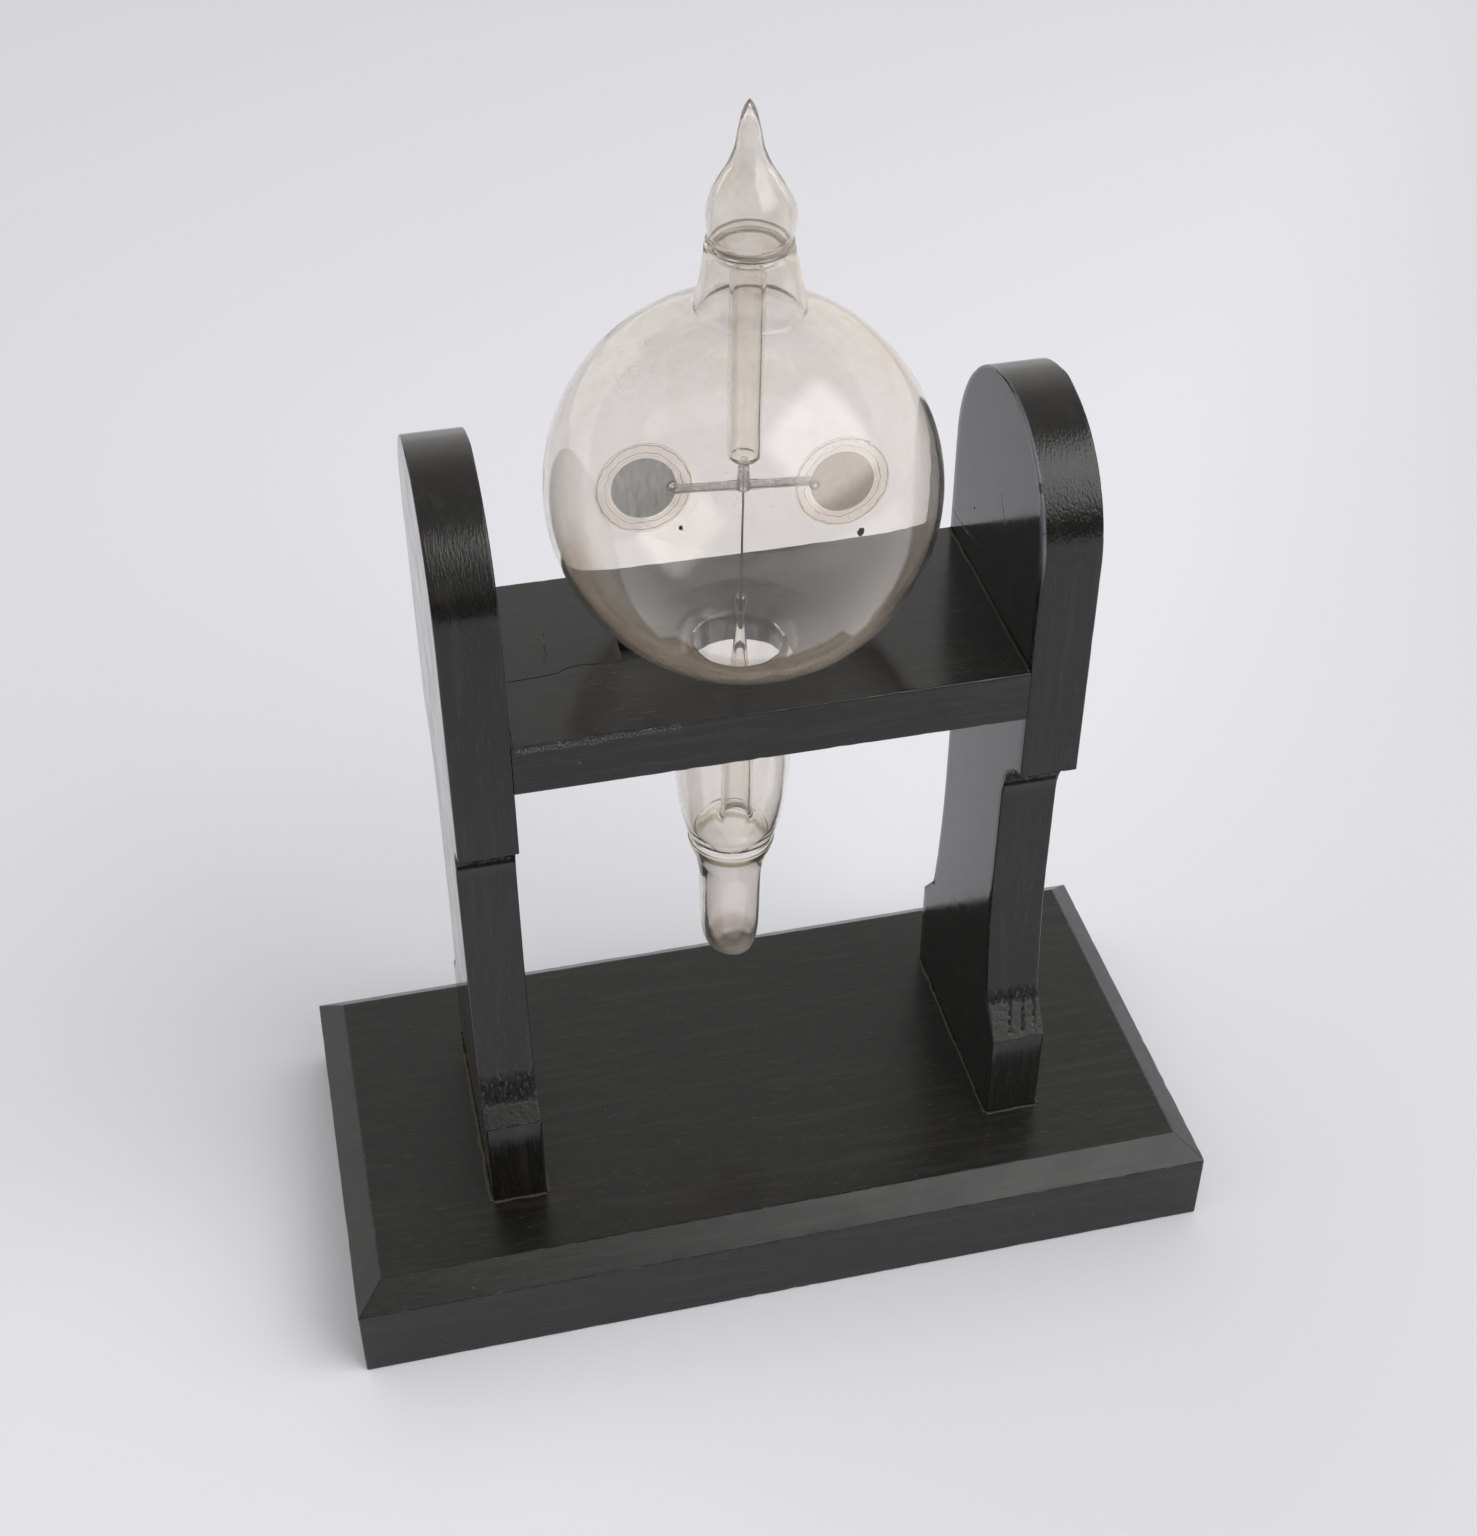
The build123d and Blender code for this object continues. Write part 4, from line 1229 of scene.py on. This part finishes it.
def studio_world():
    """Light walls round a dark strip in front, where the room behind the camera is."""
    world = bpy.data.worlds.new("studio")
    bpy.context.scene.world = world
    world.use_nodes = True
    graph = Graph(world.node_tree)
    way = graph.node("ShaderNodeTexCoord", {}).outputs["Generated"]
    split = graph.node("ShaderNodeSeparateXYZ", {0: way})
    front = graph.ramp(split.outputs["Y"], 0.1, -0.5)
    rise = split.outputs["Z"]
    strip = graph.times(graph.ramp(rise, -0.3, -0.12), graph.ramp(rise, 0.35, 0.1))
    walls = graph.ramp(rise, 0.5, 0.85, 0.92, 0.52)
    room = graph.minus(graph.ramp(rise, 0.45, 0.8, 0.42, 0.6), graph.times(strip, 0.28))
    level = graph.node("ShaderNodeMix", {"Factor": front, 2: walls, 3: room}, data_type="FLOAT")
    shine = {"Color": (1.0, 0.995, 0.99, 1.0), "Strength": level.outputs[0]}
    graph.feed(world.node_tree.nodes["Background"], shine)


studio_world()


def softbox(name, aim, azimuth, elevation, distance, width, height, radiance):
    """A square lamp whose face shines with the given radiance, and fades toward its edges."""
    lamp = bpy.data.lights.new(name, "AREA")
    lamp.shape = "RECTANGLE"
    lamp.size, lamp.size_y = width, height
    lamp.energy = radiance * width * height * math.pi
    lamp.use_nodes = True
    graph = Graph(lamp.node_tree)
    face = graph.node("ShaderNodeNewGeometry", {}).outputs["Parametric"]
    split = graph.node("ShaderNodeSeparateXYZ", {0: face})
    fades = []
    for share in (split.outputs["X"], split.outputs["Y"]):
        to_edge = graph.math("MINIMUM", share, graph.minus(1.0, share))
        fades.append(graph.ramp(to_edge, 0.0, 0.2))
    emission = next(n for n in lamp.node_tree.nodes if n.type == "EMISSION")
    graph.feed(emission, {"Strength": graph.times(*fades)})
    made = bpy.data.objects.new(name, lamp)
    bpy.context.scene.collection.objects.link(made)
    turn, lift = math.radians(azimuth), math.radians(elevation)
    level = math.cos(lift)
    way = Vector((math.sin(turn) * level, -math.cos(turn) * level, math.sin(lift)))
    made.location = Vector(aim) + way * distance
    made.rotation_euler = (-way).to_track_quat("-Z", "Y").to_euler()


softbox("front_softbox", (0.0, 0.0, 0.12), 50.0, 41.0, 1.3, 1.6, 1.45, 2.35)

# Floor: a wide pale disc that ends in front, where the room is dark. Its colour is painted shading,
# darker toward the front right where the softbox stands.
floor_material, floor_graph, floor_shader = new_material("pale_floor")
floor_split = floor_graph.node("ShaderNodeSeparateXYZ", {0: floor_graph.point()})
behind_lamp = floor_graph.times(floor_split.outputs["Y"], 0.75)
# Painted shading: the floor's colour goes from 0.90 down to 0.762 toward the front right, in place
# of the lamp's falloff.
lit = floor_graph.ramp(floor_graph.minus(floor_split.outputs["X"], behind_lamp), -20.0, 200.0)
floor_look = {
    "Base Color": floor_graph.blend(lit, (0.90, 0.892, 0.935, 1.0), (0.762, 0.755, 0.792, 1.0)),
    "Roughness": 0.9,
    "Specular IOR Level": 0.1,
}
floor_graph.feed(floor_shader, floor_look)
floor_radius, floor_level = 1900.0, -0.05
rim = [
    (floor_radius * math.cos(a), floor_radius * math.sin(a), floor_level)
    for a in np.linspace(0, 2 * math.pi, 97)[:-1]
]
floor = make_object("floor", rim, [tuple(range(len(rim)))], floor_material)

# Camera, where the photograph was taken from
camera_place = Vector((-88.98, -370.98, 436.96))
camera_right = Vector((0.97354, -0.22852, 0.00098))
camera_up = Vector((0.14442, 0.61859, 0.77233))
camera_back = -Vector((0.17710, 0.75175, -0.63522))
camera_data = bpy.data.cameras.new("camera")
camera_data.sensor_width = 36.0
camera_data.lens = 52.56
camera_data.shift_x = -0.0013
camera_data.shift_y = -0.0062
camera = bpy.data.objects.new("camera", camera_data)
bpy.context.scene.collection.objects.link(camera)
turn = Matrix((camera_right, camera_up, camera_back)).transposed()
camera.matrix_world = Matrix.Translation(camera_place * MM) @ turn.to_4x4()
bpy.context.scene.camera = camera

bpy.context.scene.view_settings.view_transform = "Standard"
bpy.context.scene.cycles.glossy_bounces = 12
